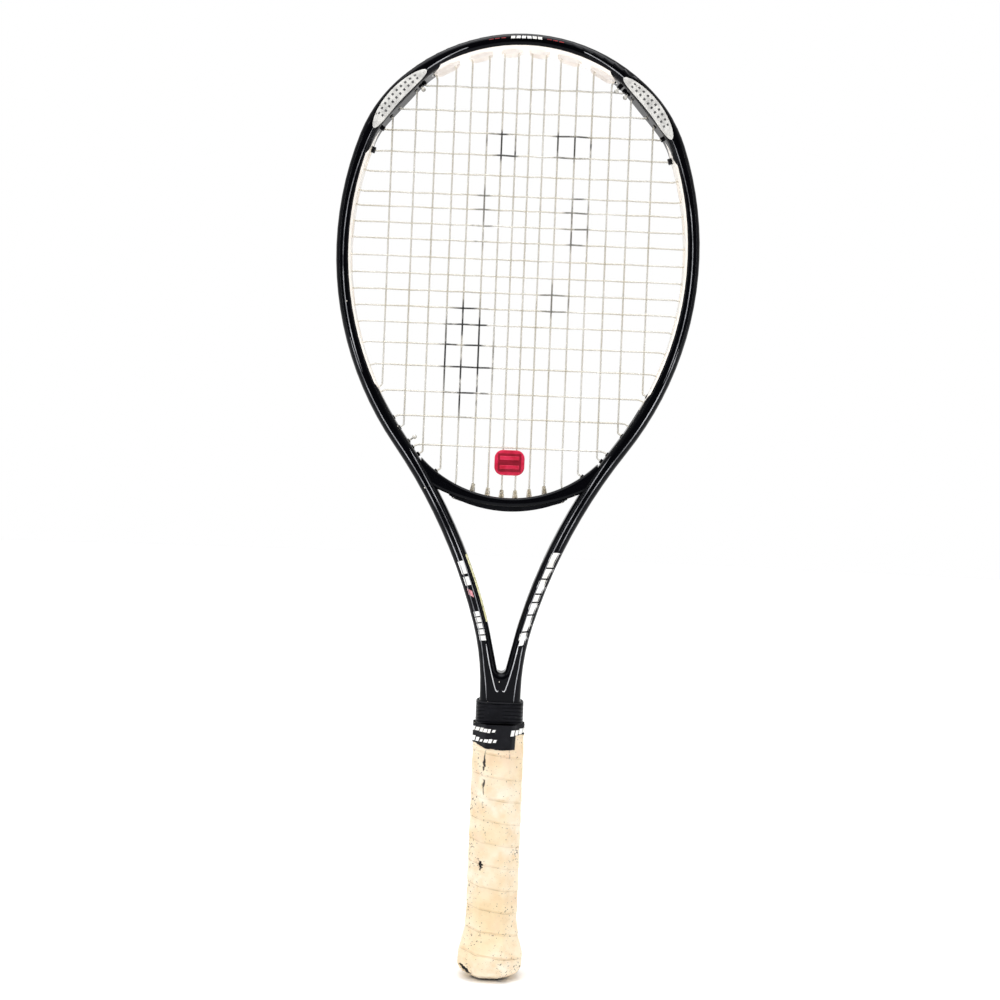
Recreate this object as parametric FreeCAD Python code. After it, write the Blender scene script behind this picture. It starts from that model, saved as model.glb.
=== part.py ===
import FreeCAD, Part
import math
import os

# Tennis racket, standing on its butt: +Z from the butt to the head, +X across the face, +Y through it.
# The origin is at the middle of the butt end. All sizes in millimetres, all turns in degrees.

V = FreeCAD.Vector

# ---- driving dimensions: the frame ----
racket_length = 685.8
crown_radius, crown_turn = 132.3, 44.8        # the outline's arcs, from the top of the head downwards
shoulder_radius, shoulder_turn = 103.6, 25.5
side_radius = 241.0                           # turns on until the arms meet the shaft
throat_radius, throat_turn = 399.0, 20.5      # arms bend the other way from here
neck_radius = 174.7
frame_width = 10.5                            # of the tube, seen from the front
shoulder_bulge = 3.2                          # the tube grows this much inwards at its shoulders
shoulder_start, shoulder_end = 70.0, 150.0    # distances along the outline
shoulder_steps = 12                           # points on the bulge's curve
beam_depth = 23.5                             # of the tube, along Y
edge_radius = 4.4
widest_rounding = 0.42                        # most of the tube's width that one rounded edge may take
tube_wall = 1.6
shaft_width = 29.8
throat_bottom_drop = 464.1                    # heights given as drops are measured down from the crown
throat_bottom_radius = 3.2
shank_top_z = 185.0                           # the shaft steps in here, inside the handle
shank_bottom_z = 9.0
shank_width = 26.0
shank_depth = 19.0
shank_edge_radius = 4.0

# ---- the bridge ----
bridge_top_drop = 337.1                       # lowest point of the string bed's opening
bridge_thickness = 6.5
bridge_bottom_radius = 126.0
bridge_depth = 20.5
bridge_edge_radius = 2.4
bridge_half_span = 64.0

# ---- stringing ----
string_diameter = 1.3
string_plane = 0.75                           # mains lie this far in front of the middle, crosses behind
bend_radius = 1.2                             # where a string turns into its channel
gentle_radius = 8.0                           # at slight turns
loop_step = 8.0                               # between the points of a loop round the outside
main_offsets = [4.9, 15.1, 26.0, 38.4, 50.2, 63.7, 78.2, 95.1]
cross_drops = [38.3, 56.0, 71.6, 87.3, 102.1, 116.9, 127.3, 139.1, 150.7, 163.4,
               175.8, 187.9, 199.8, 211.7, 226.7, 242.8, 261.6, 279.5, 300.5]
knot_diameter = 3.4
tie_spacing = 5.2                             # from a string's last hole to its tie-off hole

# ---- string channel, ports, grommets ----
channel_half_height = 2.6
channel_depth = 2.4
port_height = 9.0
port_end_gap = 0.7                            # from a string to the end of its port
port_wall = 1.3
liner_thickness = 0.6
liner_clearance = 0.1
barrel_radius = 1.7
barrel_bore_radius = 0.95
barrel_tip = 2.6                              # how far a barrel stands into the string bed
hole_overrun = 4.0                            # a hole's or port's tool passes both walls by this much
bend_past_tip = 0.8                           # a string leaves its barrel straight, then bends
throat_barrel_tip = -0.8                      # the bridge's barrels end just inside its surface
sleeve_base_radius = 2.2                      # clear tubing over the middle mains, on the bridge
sleeve_top_radius = 1.3
sleeve_height = 5.6
sleeved_mains = 6
bumper_half_height = 6.8
bumper_skin = 1.0
groove_half_height = 1.9
throat_strip_half_span = 43.0
throat_hole_lean = 0.4                        # share of the bed's slope that the bridge's holes take
throat_strip_depth = 3.4                      # at its middle
throat_strip_end_depth = 0.8
throat_strip_half_height = 7.0
corner_barrel_tip = 0.6                       # those at the lower corners end almost level with the wall
bumper_margin = 4.0                           # how far a strip or the channel runs on past its last string
strip_margin = 3.5
ported_strip_margin = 3.0
channel_margin = 8.0
strip_gap = 0.3                               # between the bumper and the shoulders' strips
knot_standoff = 1.6                           # from where a string bends to the middle of its knot
plug_radius = 2.3
plug_wall_gap = 0.2
plug_end_gap = 0.6                            # short of where the string bends
overrun = 1.0                                 # cutting shapes pass what they cut by this much

# ---- face inserts ----
insert_start = 80.5                           # its upper tip's distance along the outline
insert_length = 62.0
insert_tip_inset = 8.0
insert_depth = 2.4
insert_outer_inset, insert_inner_inset = 2.7, 12.8   # of its two arcs, at its middle

# ---- dampener and collar ----
dampener_width = 22.0
dampener_height = 18.5
dampener_thickness = 6.4
dampener_gap = 1.0                            # below the last cross string
dampener_slot_clearance = 0.35
dampener_corner_radius = 6.2
dampener_edge_radius = 1.0
collar_bottom_z = 185.2
collar_height = 16.0
collar_width = 34.8
collar_depth = 28.6
collar_clearance = 0.35
collar_rounding = 1.5                         # how much rounder its corners are than the tube's
collar_ribs = 6
rib_depth = 0.6

# ---- handle ----
grip_top_z = 184.8
handle_width = 36.8
handle_depth = 32.8
handle_bevel = 9.6                            # how much each corner of the octagon is cut back
tape_thickness = 0.45
tape_bottom_z = 167.0
overgrip_thickness = 0.6
base_grip_thickness = 1.8
butt_swell = [(0.0, -6.0), (1.8, -3.2), (4.7, 1.5), (7.6, 3.4), (10.5, 4.8), (16.3, 4.8), (22.1, 3.4), (27.9, 1.9),
              (34.0, 0.8), (42.0, 0.0)]       # height, and how far the butt swells past the handle
pallet_top_z = 183.0
base_grip_bottom_z = 6.0
base_grip_top_z = 184.0
overgrip_bottom_z = 1.0
cap_top_z = 36.0
cap_door_width = 18.0
cap_door_depth = 13.0
cap_door_clearance = 0.3
cap_door_corner_radius = 2.5
cap_floor = 4.0
staple_wire_radius = 0.5
staple_z = 27.0
staple_span = 9.0
staple_leg = 4.5
staple_gap = 0.1                              # between the staple and the base grip round it

throat_bottom_z = racket_length - throat_bottom_drop
bridge_top_z = racket_length - bridge_top_drop
bridge_bottom_z = bridge_top_z - bridge_thickness
cross_heights = [racket_length - drop for drop in cross_drops]


# ---- the outline, as a chain of tangent arcs ----
# Each arc is (start x, start z, heading in radians, radius, turn in radians, side); side -1 turns
# towards the racket's inside and +1 away from it. Distances along the chain start at the crown.

def arc_end(arc):
    x, z, heading, radius, turn, side = arc
    cx = x - side * radius * math.sin(heading)
    cz = z + side * radius * math.cos(heading)
    end_heading = heading + side * turn
    return cx + side * radius * math.sin(end_heading), cz - side * radius * math.cos(end_heading), end_heading


def build_chain(side_turn):
    chain = []
    x, z, heading = 0.0, racket_length, 0.0
    neck_turn = math.radians(crown_turn + shoulder_turn - throat_turn - 90) + side_turn
    for radius, turn, side in [(crown_radius, math.radians(crown_turn), -1),
                               (shoulder_radius, math.radians(shoulder_turn), -1),
                               (side_radius, side_turn, -1),
                               (throat_radius, math.radians(throat_turn), 1),
                               (neck_radius, neck_turn, 1)]:
        arc = (x, z, heading, radius, turn, side)
        chain.append(arc)
        x, z, heading = arc_end(arc)
    return chain


def bisect(test, low, high):
    """Where test turns from false to true between low and high."""
    for step in range(60):
        middle = (low + high) / 2
        if test(middle):
            high = middle
        else:
            low = middle
    return (low + high) / 2


def closes_on_shaft(side_turn):
    return arc_end(build_chain(side_turn)[-1])[0] < shaft_width / 2


least_turn = math.radians(90 + throat_turn - crown_turn - shoulder_turn) + 0.01
chain = build_chain(bisect(closes_on_shaft, least_turn, least_turn + 1.2))
chain_length = sum(arc[3] * arc[4] for arc in chain)
neck_end_z = arc_end(chain[-1])[1]


def on_outline(distance, inset=0.0, side=1, arcs=chain):
    """A point at a distance along the outline and set in from it, on the right (1) or left (-1)."""
    left = distance
    for arc in arcs:
        x, z, heading, radius, turn, bend = arc
        if left <= radius * turn + 1e-9 or arc is arcs[-1]:
            x, z, heading = arc_end((x, z, heading, radius, left / radius, bend))
            return side * (x + inset * math.sin(heading)), z - inset * math.cos(heading)
        left -= radius * turn


def heading_at(distance):
    left = distance
    for arc in chain:
        if left <= arc[3] * arc[4] + 1e-9 or arc is chain[-1]:
            return arc[2] + arc[5] * left / arc[3]
        left -= arc[3] * arc[4]


def joints_between(start, end, arcs):
    """The distances where one arc meets the next, with the two ends."""
    marks, total = [start], 0.0
    for arc in arcs:
        total += arc[3] * arc[4]
        if start + 1e-6 < total < end - 1e-6:
            marks.append(total)
    return marks + [end]


def at(point, y=0.0):
    return V(point[0], y, point[1])


def outline_edges(start, end, inset, side=1, arcs=chain):
    """Arc edges along the outline, from start to end."""
    edges = []
    marks = joints_between(start, end, arcs)
    for a, b in zip(marks, marks[1:]):
        p, m, q = (at(on_outline(d, inset, side, arcs)) for d in (a, (a + b) / 2, b))
        edges.append(Part.Arc(p, m, q).toShape())
    return edges


def face_of(edges):
    return Part.Face(Part.Wire(Part.__sortEdges__(edges)))


def line(p, q):
    return Part.makeLine(p, q)


def slab(edges, y_low, y_high):
    """A flat profile in the X-Z plane, drawn at y = 0, made into a slab from y_low to y_high."""
    profile = face_of(edges)
    profile.translate(V(0, y_low, 0))
    return profile.extrude(V(0, y_high - y_low, 0))


def strip(start, end, inset_a, inset_b, y_low, y_high, side=1):
    """A band that follows the outline on one side."""
    edges = outline_edges(start, end, inset_a, side) + outline_edges(start, end, inset_b, side)
    for d in (start, end):
        edges.append(line(at(on_outline(d, inset_a, side)), at(on_outline(d, inset_b, side))))
    return slab(edges, y_low, y_high)


def both_sides(start, end, inset_a, inset_b, y_low, y_high):
    """A band over the crown, as far down each side as end."""
    edges = []
    for inset in (inset_a, inset_b):
        for side in (1, -1):
            edges += outline_edges(start, end, inset, side)
    for side in (1, -1):
        edges.append(line(at(on_outline(end, inset_a, side)), at(on_outline(end, inset_b, side))))
    return slab(edges, y_low, y_high)


def mirrored(shape):
    return shape.mirror(V(0, 0, 0), V(1, 0, 0))


def fuse_all(shapes):
    whole = shapes[0]
    if len(shapes) > 1:
        whole = whole.multiFuse(shapes[1:])
    return whole.removeSplitter()


def cut_all(shape, tools):
    return shape.cut(Part.Compound(tools)) if tools else shape


# ---- the string bed's opening and the throat's ----

def side_centre():
    x, z, heading, radius, turn, bend = chain[2]
    return x + radius * math.sin(heading), z - radius * math.cos(heading)


def bed_bottom_arc():
    """Radius and centre height of the arc that closes the opening, tangent to the hoop's inside."""
    cx, cz = side_centre()
    inner = side_radius - frame_width
    drop = cz - bridge_top_z
    def inside(radius):
        return math.hypot(cx, cz - bridge_top_z - radius) > inner - radius
    radius = bisect(inside, 20.0, drop)
    return radius, bridge_top_z + radius


bed_radius, bed_centre_z = bed_bottom_arc()


def bed_outline():
    """The crown, the shoulders and as much of the side's arc as leads into the bottom arc."""
    cx, cz = side_centre()
    x, z, start_heading, radius, turn, bend = chain[2]
    heading = math.atan2(bed_centre_z - cz, -cx) - math.pi / 2
    return [chain[0], chain[1], (x, z, start_heading, radius, start_heading - heading, bend)]


bed_chain = bed_outline()
bed_length = sum(arc[3] * arc[4] for arc in bed_chain)


def bed_opening():
    edges = []
    for side in (1, -1):
        edges += outline_edges(0, bed_length, frame_width, side, bed_chain)
    left, right = (at(on_outline(bed_length, frame_width, side, bed_chain)) for side in (-1, 1))
    edges.append(Part.Arc(left, V(0, 0, bridge_top_z), right).toShape())
    return edges


def throat_tangent():
    """Where the arms' inside leaves the outline for the straight run into the throat's bottom."""
    centre_z = throat_bottom_z + throat_bottom_radius

    def still_wide(distance):
        x, z = on_outline(distance, frame_width)
        heading = heading_at(distance)
        return (z - centre_z) * math.cos(heading) - x * math.sin(heading) > throat_bottom_radius
    neck_start = chain_length - neck_radius * chain[-1][4]
    return bisect(still_wide, neck_start, chain_length)


throat_meets_v = throat_tangent()


def shoulder_edge(side):
    """The opening's smooth curve past the thicker shoulder."""
    length = shoulder_end - shoulder_start
    points = []
    for step in range(shoulder_steps + 1):
        share = step / shoulder_steps
        inset = frame_width + shoulder_bulge * math.sin(math.pi * share) ** 2
        points.append(at(on_outline(shoulder_start + length * share, inset, side)))
    ends = [V(side * math.cos(heading_at(d)), 0, math.sin(heading_at(d)))
            for d in (shoulder_start, shoulder_end)]
    curve = Part.BSplineCurve()
    curve.interpolate(Points=points, InitialTangent=ends[0], FinalTangent=ends[1])
    return curve.toShape()


def inner_opening():
    """Everything inside the hairpin: the string bed and the throat together."""
    edges = []
    heading = heading_at(throat_meets_v)
    centre_z = throat_bottom_z + throat_bottom_radius
    touch_x = throat_bottom_radius * math.sin(-heading)
    touch_z = centre_z + throat_bottom_radius * math.cos(heading)
    for side in (1, -1):
        edges += outline_edges(0, shoulder_start, frame_width, side)
        edges.append(shoulder_edge(side))
        edges += outline_edges(shoulder_end, throat_meets_v, frame_width, side)
        edges.append(line(at(on_outline(throat_meets_v, frame_width, side)), V(side * touch_x, 0, touch_z)))
    edges.append(Part.Arc(V(-touch_x, 0, touch_z), V(0, 0, throat_bottom_z), V(touch_x, 0, touch_z)).toShape())
    return edges


# ---- frame ----

tube_rounding = min(edge_radius, widest_rounding * frame_width)


def round_edges(shape, radius, wanted):
    return shape.makeFillet(radius, [e for e in shape.Edges if wanted(e)])


def front_and_back_edges(edge):
    """Edges that lie whole in the front or back face of a slab."""
    box = edge.BoundBox
    return box.YLength < 0.01 and abs(box.YMin) > 1.0


def outer_profile():
    half = shaft_width / 2
    edges = []
    for side in (1, -1):
        edges += outline_edges(0, chain_length, 0, side)
        edges.append(line(V(side * half, 0, neck_end_z), V(side * half, 0, shank_top_z)))
    edges.append(line(V(-half, 0, shank_top_z), V(half, 0, shank_top_z)))
    return edges


def rounded_bar(width, depth, radius, z_low, z_high):
    bar = Part.makeBox(width, depth, z_high - z_low, V(-width / 2, -depth / 2, z_low))
    return round_edges(bar, radius, lambda e: e.BoundBox.ZLength > (z_high - z_low) / 2)


def frame_blank():
    """The hairpin as if it were solid, with its rounded edges and no holes."""
    half = beam_depth / 2
    body = slab(outer_profile(), -half, half).cut(slab(inner_opening(), -half - 1, half + 1))

    def rim(edge):
        return front_and_back_edges(edge) and edge.BoundBox.ZMax > shank_top_z + 1
    body = round_edges(body, tube_rounding, rim)
    shank = rounded_bar(shank_width, shank_depth, shank_edge_radius, shank_bottom_z, shank_top_z)
    return body.fuse(shank)


def cavity():
    """The hollow of the tube: a ring through hoop and arms, and the two legs of the shaft and shank."""
    half = beam_depth / 2 - tube_wall
    outer = channel_depth + tube_wall
    ring = both_sides(0, throat_meets_v, outer, frame_width - tube_wall, -half, half)
    legs = []
    for width, depth, low, high in [
            (shank_width, shank_depth, shank_bottom_z + tube_wall, shank_top_z - tube_wall),
            (shaft_width, beam_depth, shank_top_z + tube_wall, throat_bottom_z - 3 * tube_wall)]:
        leg = Part.makeBox(width / 2 - 2 * tube_wall, depth - 2 * tube_wall - 2, high - low,
                           V(tube_wall, 1 + tube_wall - depth / 2, low))
        legs += [leg, mirrored(leg)]
    return [ring] + legs


# ---- where each string leaves the bed ----
# An exit is (bend, outer, distance, side): the string bends at bend, leaves the frame's or the bridge's
# outside at outer, at this distance along the outline. Exits through the bridge have no distance.

bend_inset = frame_width + barrel_tip + bend_past_tip
string_inset = channel_depth - liner_thickness - liner_clearance - string_diameter / 2
bridge_bottom_centre_z = bridge_bottom_z + bridge_bottom_radius
throat_string_radius = bridge_bottom_radius + liner_thickness + liner_clearance + string_diameter / 2
widest = sum(arc[3] * arc[4] for arc in chain[:2]) + side_radius * (chain[2][2] + math.pi / 2)


def hoop_exit(distance, side):
    return on_outline(distance, bend_inset, side), on_outline(distance, string_inset, side), distance, side


def top_exit(x):
    side = 1 if x > 0 else -1
    distance = bisect(lambda d: on_outline(d, bend_inset)[0] > abs(x), 0, widest)
    return hoop_exit(distance, side)


def side_exit(z, side):
    return hoop_exit(bisect(lambda d: on_outline(d, bend_inset)[1] < z, 0, chain_length), side)


def bottom_exit(x):
    side = 1 if x > 0 else -1
    bend_radius_here = bed_radius - (bend_inset - frame_width)
    if abs(x) > on_outline(bed_length, bend_inset, 1, bed_chain)[0]:
        return hoop_exit(bisect(lambda d: on_outline(d, bend_inset)[0] < abs(x), widest, chain_length), side)
    bend = (x, bed_centre_z - math.sqrt(bend_radius_here ** 2 - x ** 2))
    if abs(x) > throat_strip_half_span:
        def past(d):
            px, pz = on_outline(d)
            heading = heading_at(d)
            return (abs(x) - px) * math.cos(heading) + (bend[1] - pz) * math.sin(heading) < 0
        distance = bisect(past, widest, chain_length)
        return bend, on_outline(distance, string_inset, side), distance, side
    lean = throat_hole_lean * math.atan2(x, bed_centre_z - bend[1])

    def along(length):
        return bend[0] + length * math.sin(lean), bend[1] - length * math.cos(lean)

    def out(length):
        px, pz = along(length)
        return math.hypot(px, pz - bridge_bottom_centre_z) > throat_string_radius
    return bend, along(bisect(out, 0, 60)), None, side


def between(first, second):
    """Points on the way from one exit to the next, in the channel or under the bridge."""
    if first[2] is None:
        x = (first[1][0] + second[1][0]) / 2
        return [(x, bridge_bottom_centre_z - math.sqrt(throat_string_radius ** 2 - x ** 2))]
    start, end = first[2] * first[3], second[2] * second[3]
    steps = math.ceil(abs(end - start) / loop_step)
    marks = [start + (end - start) * step / steps for step in range(1, steps)]
    return [on_outline(abs(mark), string_inset, 1 if mark > 0 else -1) for mark in marks]


main_xs = [-x for x in reversed(main_offsets)] + main_offsets
main_ends = [(top_exit(x), bottom_exit(x)) for x in main_xs]
cross_ends = [(side_exit(z, -1), side_exit(z, 1)) for z in cross_heights]


def tie_exit(exit_, shift):
    return hoop_exit(exit_[2] + shift, exit_[3])


main_ties = [tie_exit(main_ends[1][0], -tie_spacing), tie_exit(main_ends[-2][0], -tie_spacing)]
cross_ties = [tie_exit(cross_ends[0][1], -tie_spacing), tie_exit(cross_ends[-1][0], -tie_spacing)]

# ports, as pairs of string numbers from 0: the mains', then the crosses' on the left and on the right
main_ports = [(i, i + 1) for i in range(2, 14, 2)]
left_ports = [(i, i + 1) for i in range(3, 17, 2)]
right_ports = [(i, i + 1) for i in range(4, 18, 2)]
plugged_cross = 3                             # has the rubber plugs; its right end has a hole of its own

# the first main's lower end leaves through the last port on the left, along that port's lower edge
last_left = cross_ends[left_ports[-1][1]][0]
main_ends[0] = (main_ends[0][0], (main_ends[0][1][0], last_left[1], last_left[2], -1))


def in_ports(number, ports):
    return any(number in pair for pair in ports)


def unit(p, q):
    length = math.hypot(q[0] - p[0], q[1] - p[1])
    return (q[0] - p[0]) / length, (q[1] - p[1]) / length


def rod(start, end, radius, y, before=0.0, after=0.0):
    """A round rod from one point to another, made longer by before and after."""
    ux, uz = unit(start, end)
    length = math.hypot(end[0] - start[0], end[1] - start[1])
    base = V(start[0] - before * ux, y, start[1] - before * uz)
    return Part.makeCylinder(radius, length + before + after, base, V(ux, 0, uz))


def port(first, second, grow=0.0):
    """An oval opening through the tube's wall that holds two strings, along the wall's normal."""
    ax, az = first[1]
    bx, bz = second[1]
    length = math.hypot(bx - ax, bz - az) + string_diameter + 2 * (port_end_gap + grow)
    radius = port_height / 2 + grow
    tangent = V(bx - ax, 0, bz - az).normalize()
    inward = V(first[0][0] + second[0][0] - ax - bx, 0, first[0][1] + second[0][1] - az - bz)
    inward = (inward - tangent * inward.dot(tangent)).normalize()
    middle = V((ax + bx) / 2, 0, (az + bz) / 2) - inward * hole_overrun
    half = tangent * (length / 2 - radius)
    tip = tangent * (length / 2)
    up = V(0, radius, 0)
    edges = [line(middle - half + up, middle + half + up), line(middle - half - up, middle + half - up),
             Part.Arc(middle + half + up, middle + tip, middle + half - up).toShape(),
             Part.Arc(middle - half + up, middle - tip, middle - half - up).toShape()]
    return face_of(edges).extrude(inward * (frame_width + 2 * hole_overrun))


def all_ports(grow=0.0):
    found = [port(main_ends[a][0], main_ends[b][0], grow) for a, b in main_ports]
    found += [port(cross_ends[a][0], cross_ends[b][0], grow) for a, b in left_ports]
    found += [port(cross_ends[a][1], cross_ends[b][1], grow) for a, b in right_ports]
    return found


def grommets():
    """Every string exit that has a barrel, with the string's plane: by the strip that carries it."""
    front, back = -string_plane, string_plane
    strips = {"shoulder_left": [(main_ends[0][0], front), (main_ends[1][0], front), (main_ties[0], front)],
              "shoulder_right": [(main_ends[-1][0], front), (main_ends[-2][0], front), (main_ties[1], front),
                                 (cross_ties[0], back)],
              "corner_left": [(cross_ties[1], back)], "corner_right": [], "throat": []}
    for number, (left, right) in enumerate(cross_ends):
        upper = number < 9
        if not in_ports(number, left_ports):
            strips["shoulder_left" if upper else "corner_left"].append((left, back))
        if not in_ports(number, right_ports) and number != plugged_cross:
            strips["shoulder_right" if upper else "corner_right"].append((right, back))
    for top, bottom in main_ends:
        if bottom[2] is None:
            strips["throat"].append((bottom, front))
        elif bottom[2] != last_left[2]:
            strips["corner_left" if bottom[3] < 0 else "corner_right"].append((bottom, front))
    return strips


strip_grommets = grommets()


def barrel_hole(exit_, y):
    return rod(exit_[1], exit_[0], barrel_radius, y, before=hole_overrun, after=hole_overrun)


def barrel(exit_, y, base_drop, stand):
    """A grommet barrel, from its strip's base to a tip that stands this far out of the inner wall."""
    bend, outer = exit_[0], exit_[1]
    ux, uz = unit(outer, bend)
    start = (outer[0] + base_drop * ux, outer[1] + base_drop * uz)
    back = bend_inset - frame_width - stand
    end = (bend[0] - back * ux, bend[1] - back * uz)
    return rod(start, end, barrel_radius, y)


def barrel_bore(exit_, y):
    return rod(exit_[1], exit_[0], barrel_bore_radius, y, before=overrun, after=sleeve_height)


def grommet_strip(plate, members, stand=barrel_tip):
    base_drop = string_diameter / 2 + liner_clearance + liner_thickness / 2
    solid = fuse_all([plate] + [barrel(e, y, base_drop, stand) for e, y in members])
    return cut_all(solid, [barrel_bore(e, y) for e, y in members])


def throat_sleeves():
    """Flared sleeves of clear tubing that the middle mains pass through, standing on the bridge."""
    first = (len(main_ends) - sleeved_mains) // 2
    sleeves = []
    for _, exit_ in main_ends[first:first + sleeved_mains]:
        bend, outer = exit_[0], exit_[1]
        ux, uz = unit(outer, bend)
        back = bend_inset - frame_width + overrun
        base = V(bend[0] - back * ux, -string_plane, bend[1] - back * uz)
        cone = Part.makeCone(sleeve_base_radius, sleeve_top_radius, sleeve_height + overrun, base, V(ux, 0, uz))
        sleeves.append(cone.cut(bridge_blank()).cut(barrel_bore(exit_, -string_plane)))
    return Part.Compound(sleeves)


def liner(start, end, side):
    return strip(start, end, channel_depth - liner_thickness, channel_depth,
                 -channel_half_height, channel_half_height, side)


def channel():
    """The groove round the outside of the hoop and the upper arms, for the strings and their strips."""
    end = main_ends[3][1][2] + channel_margin
    return both_sides(0, end, -overrun, channel_depth, -channel_half_height, channel_half_height)


bumper_end = main_ends[2][0][2] + bumper_margin


def bumper_seat():
    return both_sides(0, bumper_end, -overrun, bumper_skin, -bumper_half_height, bumper_half_height)


def bumper_guard():
    skin = both_sides(0, bumper_end, 0, bumper_skin, -bumper_half_height, bumper_half_height)
    base = both_sides(0, bumper_end, bumper_skin, channel_depth, -channel_half_height, channel_half_height)
    groove = both_sides(0, bumper_end + overrun, -overrun, channel_depth - liner_thickness,
                        -groove_half_height, groove_half_height)
    openings = [port(main_ends[a][0], main_ends[b][0]) for a, b in main_ports]
    return cut_all(skin.fuse(base).removeSplitter(), [groove] + openings)


def insert_lens(side, y_low, y_high):
    """The lens-shaped block that cuts a face insert, between its two tips on the tube's face."""
    tip_a, tip_b = (at(on_outline(d, insert_tip_inset, side))
                    for d in (insert_start, insert_start + insert_length))
    middle = insert_start + insert_length / 2
    outer = at(on_outline(middle, insert_outer_inset, side))
    inner = at(on_outline(middle, insert_inner_inset, side))
    return slab([Part.Arc(tip_a, outer, tip_b).toShape(), Part.Arc(tip_a, inner, tip_b).toShape()],
                y_low, y_high)


def insert_places():
    face = beam_depth / 2
    front, back = (-face - overrun, insert_depth - face), (face - insert_depth, face + overrun)
    return [("front_left", -1, *front), ("front_right", 1, *front),
            ("back_left", -1, *back), ("back_right", 1, *back)]


def bridge_blank():
    """The bridge's band between its two arcs, before the arms cut its ends to fit."""
    half = bridge_depth / 2
    span = bridge_half_span
    top_z = bed_centre_z - math.sqrt(bed_radius ** 2 - span ** 2)
    low_z = bridge_bottom_centre_z - math.sqrt(bridge_bottom_radius ** 2 - span ** 2)
    corners = {(s, z): V(s * span, 0, z) for s in (-1, 1) for z in (top_z, low_z)}
    edges = [Part.Arc(corners[-1, top_z], V(0, 0, bridge_top_z), corners[1, top_z]).toShape(),
             Part.Arc(corners[-1, low_z], V(0, 0, bridge_bottom_z), corners[1, low_z]).toShape(),
             line(corners[-1, top_z], corners[-1, low_z]), line(corners[1, top_z], corners[1, low_z])]
    band = slab(edges, -half, half)
    return round_edges(band, bridge_edge_radius, lambda e: front_and_back_edges(e) and e.BoundBox.XLength > span)


def throat_strip_plate():
    """The crescent under the bridge that carries the throat grommets, with its string groove."""
    span = throat_strip_half_span
    end_z = bridge_bottom_centre_z - math.sqrt(bridge_bottom_radius ** 2 - span ** 2)
    left, right = V(-span, 0, end_z), V(span, 0, end_z)
    drop = V(0, 0, -throat_strip_end_depth)
    low = V(0, 0, bridge_bottom_z - throat_strip_depth)
    edges = [Part.Arc(left, V(0, 0, bridge_bottom_z), right).toShape(), line(left, left + drop),
             Part.Arc(left + drop, low, right + drop).toShape(), line(right + drop, right)]
    plate = slab(edges, -throat_strip_half_height, throat_strip_half_height)
    radius = bridge_bottom_radius + liner_thickness
    middle = V(0, 0, bridge_bottom_centre_z)
    keep = Part.makeCylinder(radius, 2 * groove_half_height, middle + V(0, -groove_half_height, 0), V(0, 1, 0))
    groove = Part.makeBox(2 * (span + overrun), 2 * groove_half_height, left.z - low.z + overrun,
                          V(-span - overrun, -groove_half_height, low.z - overrun))
    return plate.cut(groove.cut(keep))


# ---- strings ----

def rounded_wire(points, y):
    """Straight runs joined by tangent arcs, in the plane at y."""
    corners = [V(x, y, z) for x, z in points]
    edges = []
    last = corners[0]
    for before, corner, after in zip(corners, corners[1:], corners[2:]):
        back = (before - corner).normalize()
        on = (after - corner).normalize()
        half_turn = (math.pi - back.getAngle(on)) / 2
        room = 0.45 * min((before - corner).Length, (after - corner).Length)
        wanted = bend_radius if half_turn > math.radians(20) else gentle_radius
        reach = min(wanted * math.tan(half_turn), room)
        start, end = corner + back * reach, corner + on * reach
        bisector = (back + on).normalize()
        arc_radius = reach / math.tan(half_turn)
        middle = corner + bisector * (arc_radius / math.cos(half_turn) - arc_radius)
        edges += [line(last, start), Part.Arc(start, middle, end).toShape()]
        last = end
    edges.append(line(last, corners[-1]))
    return Part.Wire(edges)


def string_along(points, y):
    """One length of string with a knot at each end."""
    path = rounded_wire(points, y)
    start = V(points[0][0], y, points[0][1])
    heading = V(points[1][0], y, points[1][1]) - start
    section = Part.Wire(Part.makeCircle(string_diameter / 2, start, heading))
    cord = path.makePipeShell([section], True, False)
    knots = [Part.makeSphere(knot_diameter / 2, V(x, y, z)) for x, z in (points[0], points[-1])]
    return cord.multiFuse(knots)


def knot_point(tie):
    """Where the string's end comes back in and is knotted, just past its barrel's tip."""
    ux, uz = unit(tie[1], tie[0])
    return tie[0][0] + knot_standoff * ux, tie[0][1] + knot_standoff * uz


def main_route():
    """Down the first main, and on from run to run: loops pass under the bottom and over the top in turn."""
    points = [knot_point(main_ties[0]), main_ties[0][1]] + between(main_ties[0], main_ends[0][0])
    for number, (top, bottom) in enumerate(main_ends):
        run = [top, bottom] if number % 2 == 0 else [bottom, top]
        points += [run[0][1], run[0][0], run[1][0], run[1][1]]
        if number + 1 < len(main_ends):
            following = main_ends[number + 1][1 if number % 2 == 0 else 0]
            points += between(run[1], following)
    return points + between(main_ends[-1][0], main_ties[1]) + [main_ties[1][1], knot_point(main_ties[1])]


def cross_route():
    """From the top cross's right end to the bottom cross's left end."""
    points = [knot_point(cross_ties[0]), cross_ties[0][1]]
    for number, (left, right) in enumerate(cross_ends):
        run = [right, left] if number % 2 == 0 else [left, right]
        points += [run[0][1], run[0][0], run[1][0], run[1][1]]
        if number + 1 < len(cross_ends):
            following = cross_ends[number + 1][0 if number % 2 == 0 else 1]
            points += between(run[1], following)
    return points + [cross_ties[1][1], knot_point(cross_ties[1])]


def port_plug(exit_):
    """A rubber plug on a cross string, against the frame's inner wall."""
    ux, uz = unit(exit_[1], exit_[0])
    inner_wall = frame_width - string_inset + plug_wall_gap
    start = (exit_[1][0] + inner_wall * ux, exit_[1][1] + inner_wall * uz)
    end = (exit_[0][0] - plug_end_gap * ux, exit_[0][1] - plug_end_gap * uz)
    return rod(start, end, plug_radius, string_plane)


# ---- dampener and collar ----

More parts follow.
